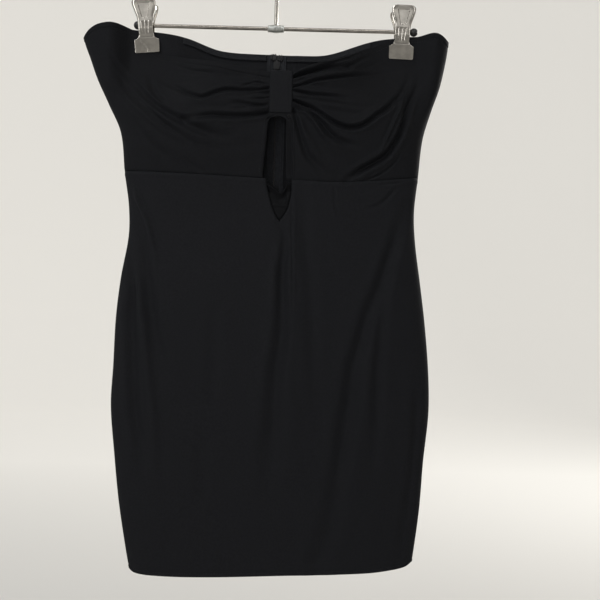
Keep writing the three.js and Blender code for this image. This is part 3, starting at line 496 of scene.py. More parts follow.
def mottle(tree, shader, scale, low, high, start=0.35, end=0.65):
    """Uneven colour between two values."""
    tree.links.new(ramp(tree, noise(tree, scale), low, high, start, end), shader.inputs["Base Color"])


def grain(tree, shader, scale, distance, strength, detail=3.0, under=None):
    """Small bumps, on top of an earlier bump where one is given."""
    rough = bump(tree, noise(tree, scale, detail), distance, strength, under)
    tree.links.new(rough, shader.inputs["Normal"])


def toned(tone, colour):
    """Colour made darker or lighter."""
    return tuple(tone * v for v in colour)


def jersey(name, tone=1.0):
    made, tree, shader = material(name, (0.011, 0.011, 0.012), 0.75, specular=0.1)
    mottle(tree, shader, 420, toned(tone, (0.0072, 0.0076, 0.0091)), toned(tone, (0.0095, 0.0100, 0.0119)))
    knit = bump(tree, wales(tree, 0.0008, "X"), 0.00012, 0.35)
    grain(tree, shader, 900, 0.00012, 0.5, 2, knit)
    shader.inputs["Sheen Weight"].default_value = 0.02
    shader.inputs["Sheen Roughness"].default_value = 0.35
    shader.inputs["Sheen Tint"].default_value = (0.75, 0.8, 0.9, 1)
    return made


def woven_tape(name, tone):
    made, tree, shader = material(name, (0.03, 0.029, 0.028), 0.7, specular=0.15)
    mottle(tree, shader, 300, toned(tone, (0.0112, 0.0121, 0.0145)), toned(tone, (0.0172, 0.0185, 0.0219)))
    weave = bump(tree, wales(tree, 0.0011, "Z"), 0.0002, 0.6)
    tree.links.new(bump(tree, wales(tree, 0.0014, "X"), 0.0002, 0.5, weave), shader.inputs["Normal"])
    return made


def thread(name):
    made, tree, shader = material(name, (0.012, 0.012, 0.013), 0.6, specular=0.15)
    mottle(tree, shader, 2500, (0.009, 0.009, 0.01), (0.016, 0.016, 0.017))
    return made


def overlock(name):
    """Looped glossy thread, with small glints."""
    made, tree, shader = material(name, (0.02, 0.02, 0.024), 0.42, specular=0.3)
    mottle(tree, shader, 900, (0.004, 0.004, 0.005), (0.024, 0.023, 0.028), 0.5, 0.72)
    grain(tree, shader, 1100, 0.0008, 1.0, 2)
    return made


def polished(name, colour, roughness):
    made, tree, shader = material(name, colour, roughness, 1.0)
    mottle(tree, shader, 120, toned(0.8, colour), colour)
    grain(tree, shader, 90, 0.0004, 0.3, 2)
    return made


def enamel(name):
    made, tree, shader = material(name, (0.015, 0.015, 0.017), 0.42, specular=0.2)
    mottle(tree, shader, 700, (0.01, 0.01, 0.011), (0.022, 0.022, 0.023))
    return made


def cast_zinc(name):
    made, tree, shader = material(name, (0.5, 0.51, 0.49), 0.4, 0.9)
    mottle(tree, shader, 500, (0.42, 0.43, 0.41), (0.62, 0.63, 0.6))
    grain(tree, shader, 1400, 0.0002, 0.4)
    return made


def black_rubber(name):
    made, tree, shader = material(name, (0.01, 0.01, 0.01), 0.38)
    mottle(tree, shader, 400, (0.007, 0.007, 0.007), (0.014, 0.014, 0.015))
    grain(tree, shader, 1800, 0.0001, 0.4)
    return made


MATERIALS = {
    "jersey": jersey("jersey"),
    # The bust pieces use the same jersey at 0.8 of its tone: painted shade for the gathered bust, which takes
    # less light.
    "bust": jersey("bust_jersey_painted_shade", 0.8),
    # The facing behind the notch is the same jersey at 0.45 of its tone: painted shade for the recess it sits
    # in.
    "inset": jersey("inset_jersey_painted_shade", 0.45),
    # The two zip tapes are one tape drawn at two tones: the left darker as painted shade, the right lighter
    # as painted light.
    "tape_left": woven_tape("woven_tape_left_painted_shade", 1.0),
    "tape_right": woven_tape("woven_tape_right_painted_light", 1.15),
    "band": woven_tape("woven_band", 0.75),
    "thread": thread("thread"),
    "overlock": overlock("overlock"),
    "zip_metal": enamel("zip_enamel"),
    "nickel": polished("polished_nickel", (0.62, 0.59, 0.54), 0.13),
    # The bar is the same nickel drawn darker: painted dark reflection for its underside.
    "bar_nickel_painted_reflection": polished("bar_nickel_painted_reflection", (0.46, 0.43, 0.39), 0.1),
    "zinc": cast_zinc("cast_zinc"),
    "rubber": black_rubber("black_rubber"),
}


# Mesh helpers
def piece(name, points, faces, finish, slot, body=BODY, replaces=()):
    """Adds a smooth mesh, given in millimetres, that rides on a body."""
    mesh = bpy.data.meshes.new(name)
    mesh.from_pydata([tuple(float(v) * MM for v in p) for p in points], [], faces)
    mesh.validate()
    mesh.materials.append(MATERIALS[finish])
    shade_smooth(mesh)
    made = linked(name, mesh)
    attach(made, body)
    if replaces:
        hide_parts(*replaces)
    return made


def settle(made, *modifiers):
    """Applies modifiers, each given as its type and its settings."""
    for kind, settings in modifiers:
        modifier = made.modifiers.new(kind.lower(), kind)
        for key, value in settings.items():
            setattr(modifier, key, value)
    shape = bpy.data.meshes.new_from_object(made.evaluated_get(bpy.context.evaluated_depsgraph_get()))
    made.modifiers.clear()
    old, made.data = made.data, shape
    shape.name = old.name
    bpy.data.meshes.remove(old)
    return made


def around(sides):
    """Even angles all the way round."""
    return [2 * math.pi * k / sides for k in range(sides)]


def ring_faces(rows, sides, start=0):
    """Faces between neighbouring rings of points."""
    faces = []
    for i in range(rows - 1):
        for k in range(sides):
            a, b = start + i * sides + k, start + i * sides + (k + 1) % sides
            faces.append((a, b, b + sides, a + sides))
    return faces


def end_faces(rows, sides, start=0):
    """Flat faces over the first and the last ring."""
    last = start + (rows - 1) * sides
    return [tuple(start + k for k in reversed(range(sides))), tuple(last + k for k in range(sides))]


def grid_faces(rows, columns, start=0):
    i, j = np.meshgrid(np.arange(rows - 1), np.arange(columns - 1), indexing="ij")
    a = start + i * columns + j
    return np.stack([a, a + columns, a + columns + 1, a + 1], -1).reshape(-1, 4)


def face_out(made, side):
    """Turns the faces so that most normals point to the given side of Y."""
    mesh = made.data
    total = sum(polygon.normal.y * polygon.area for polygon in mesh.polygons)
    if total * side < 0:
        mesh.flip_normals()
    return made


def face_outwards(made, weld=False):
    """Turns the faces to agree, after joining doubled points where asked."""
    work = bmesh.new()
    work.from_mesh(made.data)
    if weld:
        bmesh.ops.remove_doubles(work, verts=work.verts, dist=WELD)
    bmesh.ops.recalc_face_normals(work, faces=work.faces)
    work.to_mesh(made.data)
    work.free()


def sheet_piece(name, side, grids, thick, finish, slot, replaces):
    """Cloth from one or more grids of points, joined where they meet and thickened inwards."""
    points = np.concatenate([grid.reshape(-1, 3) for grid in grids])
    faces, start = [], 0
    for grid in grids:
        faces.append(grid_faces(grid.shape[0], grid.shape[1], start))
        start += grid.shape[0] * grid.shape[1]
    made = piece(name, points, np.concatenate(faces).tolist(), finish, slot, replaces=replaces)
    if len(grids) > 1:
        face_outwards(made, weld=True)
    face_out(made, side)
    return settle(made, ("SOLIDIFY", {"thickness": thick * MM, "offset": -1.0}))


# Row and column places
END_OFFSETS = np.array([0, 0.5, 1.2, 2.2, 3.4, 4.6, 5.6, 6.4, 7, 7.6, 8.4, 9.6, 11.5])
ROUND = np.array([0.945, 0.958, 0.97, 0.98, 0.987, 0.993, 0.997, 0.9992, 1.0])


def rows_between(upper, lower, share_of, count, from_seam=0.0, to_seam=0.0):
    """Places down: fixed offsets near both edges and even steps between. share_of(down) gives columns."""
    fixed = len(END_OFFSETS)
    even = np.linspace(0, 1, count - 2 * fixed + 2)[1:-1]
    guess = 300.0
    columns = share_of(np.array([[guess]])).shape[1]
    down = np.full((count, columns), guess)
    for _ in range(5):
        share = share_of(down)
        x = middle(down) + half_width(down) * share
        top = smooth(upper, x[0]) + from_seam
        bottom = smooth(lower, x[-1]) - to_seam
        high = top + END_OFFSETS[:, None]
        low = bottom - END_OFFSETS[::-1, None]
        inner = high[-1] + (low[0] - high[-1]) * even[:, None]
        down = np.concatenate([high, inner, low])
    return share_of(down), down


def from_edge(edge, way, count):
    """Columns from a piece's inner edge to its side seam, for rows at the given down."""
    steps = np.linspace(0, 1, count - len(ROUND) + 1)[:-1] ** 1.08

    def share_of(down):
        start = share_at(smooth(edge, down[:, :1]), down[:, :1])
        flat = start + (way * ROUND[0] - start) * steps[None, :]
        sides = np.broadcast_to(way * ROUND[None, :], (down.shape[0], len(ROUND)))
        return np.concatenate([flat, sides], 1)
    return share_of


# Cloth pieces
def bust_piece(word, edge, way):
    share, down = rows_between(TOP_FRONT, UNDERBUST, from_edge(edge, way, 215), 150, to_seam=SEAM / 2)
    name, clip = "bust_" + word, "clip_" + word
    # The bust's finish is the jersey darkened as painted shade.
    made = sheet_piece(name + "_cloth", FRONT, [cloth(FRONT, share, down)], SHEET, "bust", "jersey", [name])


def skirt_front():
    """Two halves that meet row for row below the notch."""
    left_of, right_of = from_edge(NOTCH_LEFT, -1, 104), from_edge(NOTCH_RIGHT, 1, 104)
    _, left_down = rows_between(UNDERBUST, HEM, left_of, 216, from_seam=SEAM / 2)
    _, right_down = rows_between(UNDERBUST, HEM, right_of, 216, from_seam=SEAM / 2)
    shift = left_down[:, :1] - right_down[:, :1]
    right_down = right_down + shift * np.exp(-np.arange(right_down.shape[1]) / 12)
    grids = [cloth(FRONT, left_of(left_down), left_down), cloth(FRONT, right_of(right_down), right_down)]
    made = sheet_piece("skirt_front_cloth", FRONT, grids, SHEET, "jersey", "jersey", ["skirt_front"])


def zip_edge(way):
    """Inner edge of a back piece: beside the zip, then closing to the centre seam below it."""
    levels = np.concatenate([[100.0], ZIP_BOTTOM + np.array([-1, 0, 7, 14, 20]), [900.0]])
    wide = ZIP_GAP + (SEAM / 3 - ZIP_GAP) * fade_in(ZIP_BOTTOM, ZIP_BOTTOM + 20, levels)
    return np.stack([levels, ZIP_X + way * wide / 2], 1)


def back_piece(word, way):
    share, down = rows_between(TOP_BACK, HEM, from_edge(zip_edge(way), way, 84), 216)
    name, clip = "back_" + word, "clip_" + word
    made = sheet_piece(name + "_cloth", BACK, [cloth(BACK, share, down)], SHEET, "jersey", "jersey", [name])


INSET_TOP = np.array([(-9, 307.5), (-2, 311.5), (4.5, 316), (10, 320), (16.5, 317), (19.5, 310), (28, 308.6)])
INSET_TIP = np.array([(-9, 322), (-3, 341), (5, 356), (11, 363), (20, 353), (28, 330)])


def keyhole_inset():
    """Facing behind the notch, its upper edge rolled and one crease across it."""
    x = np.linspace(-9, 28, 60)[None, :]
    steps = np.linspace(0, 1, 50)[:, None]
    top, tip = smooth(INSET_TOP, x), smooth(INSET_TIP, x)
    down = top + (tip - top) * steps
    below = down - top
    roll = 1.2 * bell(below - 2.4, 1.7) - 1.4 * bell(below, 1.1)
    dip = 2.8 * bell(below - 9.5, 4.5)
    crease = 0.9 * bell(down - 337 - 0.02 * (x - 9) ** 2, 1.4)
    points = cloth_at(FRONT, x, down, -WALL - 2 * SEAM + roll - dip + crease)
    # Its finish is the jersey darkened as painted shade for the recess.
    made = sheet_piece("inset_cloth", FRONT, [points], SHEET, "inset", "jersey", ["keyhole_inset"])


def tab_loop():
    """Loop of cloth round the gathered edges, its long sides turned under."""
    steps = 40
    across = np.linspace(0, 1, 30)
    x = TAB_LEFT + (TAB_RIGHT - TAB_LEFT) * across
    levels = np.linspace(TAB_TOP + WALL + SEAM, TAB_BOTTOM - WALL - SEAM, steps)
    sample, at_level = np.meshgrid([TAB_LEFT, (TAB_LEFT + TAB_RIGHT) / 2, TAB_RIGHT], levels)
    faces_y = tube(FRONT, share_at(sample, at_level), at_level)[..., 1]
    near = faces_y.min(1) - TAB_EASE
    far = faces_y.max(1) + WALL + TAB_EASE
    rounding = np.linspace(0, math.pi, 9)[1:-1]

    def ring(out):
        front = [(near[k] - out, -levels[k]) for k in range(steps)]
        mid, half = (near[-1] + far[-1]) / 2, (far[-1] - near[-1]) / 2 + out
        under = [(mid - half * math.cos(a), -levels[-1] - (SEAM + out) * math.sin(a)) for a in rounding]
        back = [(far[k] + out, -levels[k]) for k in reversed(range(steps))]
        mid, half = (near[0] + far[0]) / 2, (far[0] - near[0]) / 2 + out
        over = [(mid + half * math.cos(a), -levels[0] + (SEAM + out) * math.sin(a)) for a in rounding]
        return np.array(front + under + back + over)

    grid = []
    for f, at in zip(across, x):
        turned = 0.55 * min(1, 8 * min(f, 1 - f)) ** 0.5
        crease = 0.3 * math.exp(-((at - 19.4) / 0.7) ** 2)
        outline = ring(0.45 + turned - crease)
        grid.append(np.column_stack([np.full(len(outline), at), outline]))
    grid = np.array(grid)
    grid = np.concatenate([grid, grid[:, :1]], 1)
    faces = grid_faces(*grid.shape[:2]).tolist()
    made = piece("tab_loop", grid.reshape(-1, 3), faces, "jersey", "jersey", replaces=["bust_tab"])
    face_outwards(made, weld=True)
    face_out_ring(made)
    settle(made, ("SOLIDIFY", {"thickness": 0.8 * MM, "offset": -1.0}))


def face_out_ring(made):
    """Turns the faces of a closed ring away from its middle."""
    mesh = made.data
    centre = sum((v.co for v in mesh.vertices), Vector()) / len(mesh.vertices)
    if sum((p.center - centre).dot(p.normal) for p in mesh.polygons) < 0:
        mesh.flip_normals()


def inside_strip(name, x, top, height, finish, thick, replaces, rows):
    """Tape on the inside of the back, with a ridge at its edge and three woven lines."""
    down = top[None, :] + height * np.linspace(0, 1, rows)[:, None]
    away = np.abs(x - x[0])
    edges = 0.25 * bell(away, 0.8) + sum(0.45 * bell(away - at, 0.4) for at in (2.8, 5, 8.2))
    points = cloth_at(BACK, x[None, :], down, -WALL - 2 * SEAM - edges[None, :])
    return sheet_piece(name, BACK, [points], thick, finish, "elastic", replaces)


def zip_tape(word, way):
    name = "zip_tape_" + word
    x = ZIP_X + way * np.linspace(ZIP_BEAD, ZIP_TAPE, 40)
    height = ZIP_BOTTOM + 8 - ZIP_TOP
    # The right tape's finish is lighter than the left's: painted light on the lit side and painted shade on
    # the other.
    made = inside_strip(name + "_weave", x, ZIP_TOP + 0 * x, height, "tape_" + word, 0.7, [name], 130)


def tape_top(name, way, down):
    """Folded and overlocked upper end of a zip tape."""
    rows, sides, half = 26, 20, 4.2
    centre = ZIP_X + way * (half - 0.3)
    level = float(cloth_at(BACK, centre, down + 3)[1]) - WALL - 2.4
    points = []
    for t in np.linspace(-1, 1, rows):
        size = (1 - 0.99 * abs(t) ** 8) ** 0.5
        for a in around(sides):
            knot = size * (1 + 0.14 * math.sin(9 * t + 2 * a) + 0.09 * math.sin(23 * t + 5 * a))
            points.append((centre + half * t, level + 1.3 * knot * math.cos(a),
                           -down - half + half * knot * math.sin(a)))
    made = piece(name, points, ring_faces(rows, sides) + end_faces(rows, sides), "overlock", "jersey")
    face_outwards(made)


def back_band(name, way):
    x = ZIP_X + way * np.linspace(ZIP_TAPE + 0.8, BAND_REACH, 90)
    inside_strip(name + "_weave", x, smooth(TOP_BACK, x) + 0.6, BAND_HEIGHT, "band", 0.8, [name], 10)


# Sewing
def stitches(name, points, length=STITCH_LENGTH, radius=STITCH_RADIUS):
    """Short arched threads along a line of points."""
    run = np.concatenate([[0], np.cumsum(np.linalg.norm(np.diff(points, axis=0), axis=1))])
    arch = ((0, 0.1), (0.15, 0.8), (0.5, 1.0), (0.85, 0.8), (1, 0.1))
    sides = 5
    verts, faces = [], []
    for start in np.arange(0, run[-1] - length, length + STITCH_GAP):
        base = len(verts)
        at = [start + length * t for t, _ in arch]
        places = np.column_stack([np.interp(at, run, points[:, c]) for c in range(3)])
        along = places[-1] - places[0]
        along /= np.linalg.norm(along)
        out = np.array([0, math.copysign(1, places[0][1]), 0])
        aside = np.cross(along, out)
        for point, (_, size) in zip(places, arch):
            for a in around(sides):
                verts.append(point + radius * size * (math.cos(a) * aside + (math.sin(a) + 0.3) * out))
        faces += ring_faces(len(arch), sides, base) + end_faces(len(arch), sides, base)
    return piece(name, verts, faces, "thread", "jersey")


def seam_line(side, edge, offset, low, high):
    x = np.linspace(low, high, 160)
    return cloth_at(side, x, smooth(edge, x) + offset, STITCH_LIFT)


def sewing():
    left_end, right_end = -232, 208
    for word, side, edge, offset, low, high in (
            ("top_front_left", FRONT, TOP_FRONT, TOP_STITCH, left_end, TAB_LEFT - 1),
            ("top_front_right", FRONT, TOP_FRONT, TOP_STITCH, TAB_RIGHT + 1, right_end),
            ("top_back_left", BACK, TOP_BACK, TOP_STITCH, left_end, ZIP_X - 9),
            ("top_back_right", BACK, TOP_BACK, TOP_STITCH, ZIP_X + 9, right_end),
            ("hem_front", FRONT, HEM, -HEM_STITCH, -160, 180),
            ("hem_back", BACK, HEM, -HEM_STITCH, -160, 180)):
        stitches("stitch_" + word, seam_line(side, edge, offset, low, high))
    down = np.linspace(ZIP_TOP + 2, ZIP_BOTTOM + 6, 120)
    for way, word in ((-1, "left"), (1, "right")):
        x = ZIP_X + way * (ZIP_GAP / 2 + ZIP_STITCH)
        stitches("stitch_zip_" + word, cloth_at(BACK, x, down, STITCH_LIFT))
    down = np.linspace(KEYHOLE_TOP, KEYHOLE_BOTTOM, 60)
    x = smooth(BUST_LEFT_EDGE, down) - KEYHOLE_STITCH
    stitches("stitch_keyhole_left", cloth_at(FRONT, x, down, STITCH_LIFT), 2.2, 0.22)


def bar_tack():
    """Small knot of thread at the upper right corner of the keyhole."""
    radius = 1.6
    centre = cloth_at(FRONT, 19.8, 229.6, 0.9)
    path = [(centre[0] + radius * math.cos(a), centre[1] - 0.15 * math.sin(3 * a),
             centre[2] + radius * math.sin(a)) for a in around(24)[:-1]]
    swept("keyhole_tack", path, 0.5, "thread", "jersey", sides=8)


# Zip: interlocked teeth, slider and pull
def box_at(centre, size, bevel):
    """Points and faces of a box with rounded edges."""
    work = bmesh.new()
    bmesh.ops.create_cube(work, size=1)
    for vert in work.verts:
        vert.co = Vector(centre[k] + vert.co[k] * size[k] for k in range(3))
    bmesh.ops.bevel(work, geom=list(work.edges), offset=bevel, segments=2, profile=0.7, affect="EDGES")
    work.verts.index_update()
    points = [tuple(v.co) for v in work.verts]
    faces = [tuple(v.index for v in face.verts) for face in work.faces]
    work.free()
    return points, faces


def joined(parts):
    points, faces = [], []
    for more, their in parts:
        base = len(points)
        points.extend(more)
        faces.extend(tuple(base + k for k in face) for face in their)
    return points, faces


def zip_teeth():
    """Teeth in two interlocked rows, half a pitch apart."""
    pitch, parts = 1.5, []
    for k, down in enumerate(np.arange(ZIP_TOP + 4, ZIP_BOTTOM, pitch / 2)):
        way = 1 if k % 2 else -1
        y = float(cloth_at(BACK, ZIP_X, down)[1]) - WALL - 0.5
        parts.append(box_at((ZIP_X + way * 0.35, y, -down), (2.0, 2.6, 0.62), 0.16))
    piece("zip_teeth", *joined(parts), "zip_metal", "zip_metal")


def clean_part(name, node, finish, body=BODY):
    """A node's own solid with its edges softened."""
    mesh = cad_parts[node].data.copy()
    made = linked(name, mesh)
    mesh.materials.clear()
    mesh.materials.append(MATERIALS[finish])
    corner = math.radians(35)
    work = bmesh.new()
    work.from_mesh(mesh)
    bmesh.ops.remove_doubles(work, verts=work.verts, dist=WELD)
    bmesh.ops.dissolve_limit(work, angle_limit=math.radians(4), verts=work.verts, edges=work.edges)
    sharp = [edge for edge in work.edges if edge.calc_face_angle(0) > corner]
    bmesh.ops.bevel(work, geom=sharp, offset=0.15 * MM, segments=2, profile=0.7, affect="EDGES",
                    clamp_overlap=True)
    work.to_mesh(mesh)
    work.free()
    shade_smooth(mesh)
    mesh.set_sharp_from_angle(angle=corner)
    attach(made, body)
    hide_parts(node)


# Hanger
BAR_DOWN, BAR_RADIUS, BAR_LEFT, BAR_RIGHT = 115, 2.5, -167.9, 167.5
HOOK_INNER, HOOK_WIRE, HOOK_TIP, HOOK_STRAIGHT, SOCKET = 19, 2.5, 195, 62, 111.5


def turned(name, outline, bored, finish, slot, replaces, sides=48):
    """Turned form about the bar's line: the outline gives x and radius, and a bored one is open inside."""
    points = [(x, radius * math.cos(a), -BAR_DOWN + radius * math.sin(a))
              for x, radius in outline for a in around(sides)]
    rows = len(outline)
    faces = ring_faces(rows, sides)
    if bored:
        last = (rows - 1) * sides
        faces += [(last + k, last + (k + 1) % sides, (k + 1) % sides, k) for k in range(sides)]
    else:
        faces += end_faces(rows, sides)
    made = piece(name, points, faces, finish, slot, replaces=replaces)
    face_outwards(made)
    made.data.set_sharp_from_angle(angle=math.radians(40))


def hanger_bar():
    lip = [(0, BAR_RADIUS - 0.4), (0.4, BAR_RADIUS)]
    outline = [(BAR_LEFT + a, r) for a, r in lip] + [(BAR_RIGHT - a, r) for a, r in reversed(lip)]
    # The bar's finish is the nickel darkened as painted dark reflection.
    turned("bar_rod", outline, False, "bar_nickel_painted_reflection", "nickel", ["hanger_bar"])


def ball_end(node, x, way):
    radius = 5.1
    flat = math.asin(BAR_RADIUS / radius)
    centre = x + way * (SEAM + radius * math.cos(flat))
    angles = np.linspace(flat, math.pi - 0.02, 26)
    outline = [(centre - way * radius * math.cos(a), radius * math.sin(a)) for a in angles]
    turned(node + "_ball", outline, False, "rubber", "rubber", [node])


def ferrule():
    bore, half = BAR_RADIUS + SEAM, 10
    profile = np.array([(-half, 4.3), (-8.6, 4.2), (-5, 4.6), (0, 5.1), (5, 4.6), (8.6, 4.2), (half, 4.4)])
    x = np.linspace(-half, half, 40)
    outline = [(-half, bore)] + list(zip(x, smooth(profile, x))) + [(half, bore)]
    turned("ferrule_sleeve", outline, True, "zinc", "zinc", ["hanger_ferrule"])


def swept(name, path, radius, finish, slot, replaces=(), sides=20):
    """Round wire along a path of points in millimetres, with rounded ends."""
    path = [Vector(p) for p in path]
    last = len(path) - 1
    tangents = [(path[min(i + 1, last)] - path[max(i - 1, 0)]).normalized() for i in range(last + 1)]
    aside = tangents[0].orthogonal().normalized()
    points = []
    for point, tangent in zip(path, tangents):
        aside = (aside - tangent * aside.dot(tangent)).normalized()
        other = tangent.cross(aside)
        points += [point + (aside * math.cos(a) + other * math.sin(a)) * radius for a in around(sides)]
    faces = ring_faces(len(path), sides)
    for end, tangent, ring in ((path[0], -tangents[0], 0), (path[-1], tangents[-1], last)):
        tip = len(points)
        points.append(end + tangent * radius * 0.5)
        for k in range(sides):
            a, b = ring * sides + k, ring * sides + (k + 1) % sides
            faces.append((b, a, tip) if ring == 0 else (a, b, tip))
    return piece(name, points, faces, finish, slot, replaces=replaces)


def hook():
    bend = HOOK_INNER + HOOK_WIRE

    def on(degrees):
        a = math.radians(degrees)
        return Vector((bend * math.cos(a), 0, -HOOK_INNER + bend * math.sin(a)))

    first = -50
    heading = (on(first + 1) - on(first)).normalized() * 11
    points = [Vector((0, 0, -down)) for down in np.arange(SOCKET - 0.3, HOOK_STRAIGHT, -2)]
    start, lift = Vector((0, 0, -HOOK_STRAIGHT)), Vector((0, 0, -HOOK_STRAIGHT + 12))
    for t in np.linspace(0, 1, 16):
        points.append((1 - t) ** 3 * start + 3 * (1 - t) ** 2 * t * lift
                      + 3 * (1 - t) * t * t * (on(first) - heading) + t ** 3 * on(first))
    points.extend(on(a) for a in np.arange(first + 3, HOOK_TIP + 0.1, 3))
    swept("hook_wire", points, HOOK_WIRE, "nickel", "nickel", ["hanger_hook"], 28)


# Clip leaf down from its handle: over the bar, half width, distance out, bent edges
LEAF = np.array([
    (-34.4, 14.2, 2.85, 0), (-33.4, 15, 2.85, 0), (-26, 15.2, 2.85, 0), (-18.6, 15.2, 2.85, 0),
    (-18.1, 14.9, 2.87, 0), (-17.3, 12.9, 2.95, 0.1), (-16, 11, 3.1, 0.2), (-14, 9.7, 3.7, 0.4),
    (-11, 9, 4.8, 0.5), (-4, 9.2, 6.9, 0.6),
    (4, 9.7, 7.8, 1.2), (9, 10.6, 8.9, 1.7), (16, 13, 10.5, 2), (24, 14.8, 12.2, 1.6),
    (28, 14, 12.9, 1.6), (29.6, 11.4, 13.2, 1.2),
])
# Wavy line down the jaw: over the bar, across
JAW_WAVE = np.array([(-34.4, 2.6), (-30, 1.4), (-26, -0.8), (-22, -4.6), (-18, -7), (-14, -7.6)])
METAL = 1.1
# Rows of a leaf over the bar, closer together at its bends: from, to, count
LEAF_ROWS = [(-34.4, -33.2, 5), (-32, -19.4, 14), (-19, -10, 22), (-9.5, 27.5, 70), (27.9, 29.6, 8)]


def leaf_relief(over, across):
    """Ribs on the neck and the pressed panel on the handle, as rise in millimetres."""
    rise = 0
    neck = fade_in(-13.4, -12, over) * (1 - fade_in(2.6, 4, over))
    for top, bottom in ((-4.9, -3.4), (0, 0), (4.9, 3.4)):
        line = bottom + (top - bottom) * (over + 13) / 17
        off = np.minimum(np.abs(across - line) / 1.35, 1)
        rise = rise + 0.2 * neck * (1 + np.cos(math.pi * off))
    width = 3.4 + 3.9 * (over - 8) / 17
    along = fade_in(7.4, 8.6, over) * (1 - fade_in(24.6, 26, over))
    panel = (1 - fade_in(-0.5, 0.6, np.abs(across) - width)) * along
    return rise - 1.1 * panel


def leaf_grid(side, dents):
    """Points of a pressed leaf: rows over the bar, columns across, with the jaw's wave as deep as dents."""
    over = np.concatenate([np.linspace(*rows) for rows in LEAF_ROWS])[:, None]
    f = np.linspace(-1, 1, 81)[None, :]
    curved = (over > -17) & (over < 27)
    across = np.where(curved, smooth(LEAF, over, 1), np.interp(over, LEAF[:, 0], LEAF[:, 1])) * f
    out = np.interp(over, LEAF[:, 0], LEAF[:, 2]) * 0.4 + smooth(LEAF, over, 2) * 0.6
    out = out - smooth(LEAF, over, 3) * f ** 8 + leaf_relief(over, across)
    jaw = 1 - fade_in(-19, -16, over)
    wave = across - smooth(JAW_WAVE, over)
    out = out + dents * jaw * (0.3 * bell(wave, 1.7) + 0.2 * fade_in(0, 6, wave))
    return np.stack([across, side * out, over + 0 * f], -1)


def clip_frame(x, down, lean):
    tilt = math.radians(lean)
    bar_x = x - math.tan(tilt) * (down - BAR_DOWN)
    return Matrix.Translation(Vector((bar_x, 0, -BAR_DOWN)) * MM) @ Matrix.Rotation(-tilt, 4, "Y")


def place_in(made, matrix):
    made.data.transform(matrix)
    made.data.update()


def ear_plate(name, side, x, matrix):
    """Side plate of a leaf with the hole that the bar runs through."""
    count, thick, hole, plate, tall = 40, 1, 3.3, 4.8, 5.2
    reach = float(np.interp(0, LEAF[:, 0], LEAF[:, 2])) - METAL / 2
    points, faces = [], []
    for layer in (-thick / 2, thick / 2):
        for a in around(count):
            out, over = plate * math.cos(a), plate * math.sin(a)
            if math.cos(a) > 0:
                out = reach * min(1, 1.5 * math.cos(a)) ** 0.6
                over = tall * math.sin(a)
            points.append((x + layer, side * out, over))
            points.append((x + layer, side * hole * math.cos(a), hole * math.sin(a)))
    ring = 2 * count
    for k in range(count):
        a, b = 2 * k, 2 * ((k + 1) % count)
        faces.append((a, b, b + 1, a + 1))
        faces.append((ring + a, ring + a + 1, ring + b + 1, ring + b))
        faces.append((a, ring + a, ring + b, b))
        faces.append((a + 1, b + 1, ring + b + 1, ring + a + 1))
    made = piece(name, points, faces, "nickel", "nickel")
    made.data.set_sharp_from_angle(angle=math.radians(35))
    place_in(made, matrix)


def clip_leaf(clip, word, side, ears, matrix, dents):
    """Front or back leaf of a clip, with its two ears at the given distance from the middle."""
    grid = leaf_grid(side, dents)
    faces = grid_faces(*grid.shape[:2]).tolist()
    made = piece(f"{clip}_leaf_{word}", grid.reshape(-1, 3), faces, "nickel", "nickel",
                 replaces=[f"{clip}_{word}"])
    face_out(made, side)
    rounded = {"width": 0.28 * MM, "segments": 2, "limit_method": "ANGLE", "angle_limit": math.radians(50)}
    settle(made, ("SOLIDIFY", {"thickness": METAL * MM, "offset": -1.0}), ("BEVEL", rounded))
    place_in(made, matrix)
    for k, x in enumerate((-ears, ears)):
        ear_plate(f"{clip}_{word}_ear_{k}", side, x, matrix)


def clip_spring(clip, matrix):
    """Coil round the bar with an arm up to each leaf."""
    turns, radius, wire, half, arm, lean = 3, 3.9, 0.55, 1.7, 12, 1.98
    steps = turns * 24 + 12
    path = [(-half, -radius - lean * (1 - t), arm * (1 - t)) for t in np.linspace(0, 1, 14)[:-1]]
    for k in range(steps + 1):
        a = math.pi + 2 * math.pi * k / 24
        path.append((-half + 2 * half * k / steps, radius * math.cos(a), -radius * math.sin(a)))
    path += [(half, radius + lean * t, arm * t) for t in np.linspace(0, 1, 14)[1:]]
    made = swept(clip + "_spring_coil", path, wire, "nickel", "nickel", [clip + "_spring"], 10)
    place_in(made, matrix)


def clips():
    for clip, (x, down, lean, _) in CLIPS.items():
        matrix = clip_frame(x, down, lean)
        dents = 1.0 if clip == "clip_left" else 0.35
        clip_leaf(clip, "front", FRONT, 4.5, matrix, dents)
        clip_leaf(clip, "back", BACK, 3.1, matrix, 0.3)
        clip_spring(clip, matrix)


# Surroundings: pale floor, pale dome, soft lights and the camera
CENTRE = Vector((0.0389, 0, -0.4528))
FLOOR_Z = -1.0


def stage_material(name):
    """Pale behind the dress and greyer on the camera's side of it, so that the folds keep their shade."""
    made, tree, shader = material(name, (0.8, 0.78, 0.74), 0.9)
    place = tree.nodes.new("ShaderNodeNewGeometry")
    split = tree.nodes.new("ShaderNodeSeparateXYZ")
    tree.links.new(place.outputs["Position"], split.inputs["Vector"])
    spread = tree.nodes.new("ShaderNodeMapRange")
    spread.inputs["From Min"].default_value = -0.6
    spread.inputs["From Max"].default_value = 1.6
    tree.links.new(split.outputs["Y"], spread.inputs["Value"])
    for socket, low, high in (("Base Color", (0.29, 0.285, 0.276), (0.48, 0.472, 0.451)),
                              ("Emission Color", (0.13, 0.129, 0.125), (0.41, 0.4, 0.381))):
        tree.links.new(ramp(tree, spread.outputs["Result"], low, high, 0, 1), shader.inputs[socket])
    shader.inputs["Emission Strength"].default_value = 1
    return made


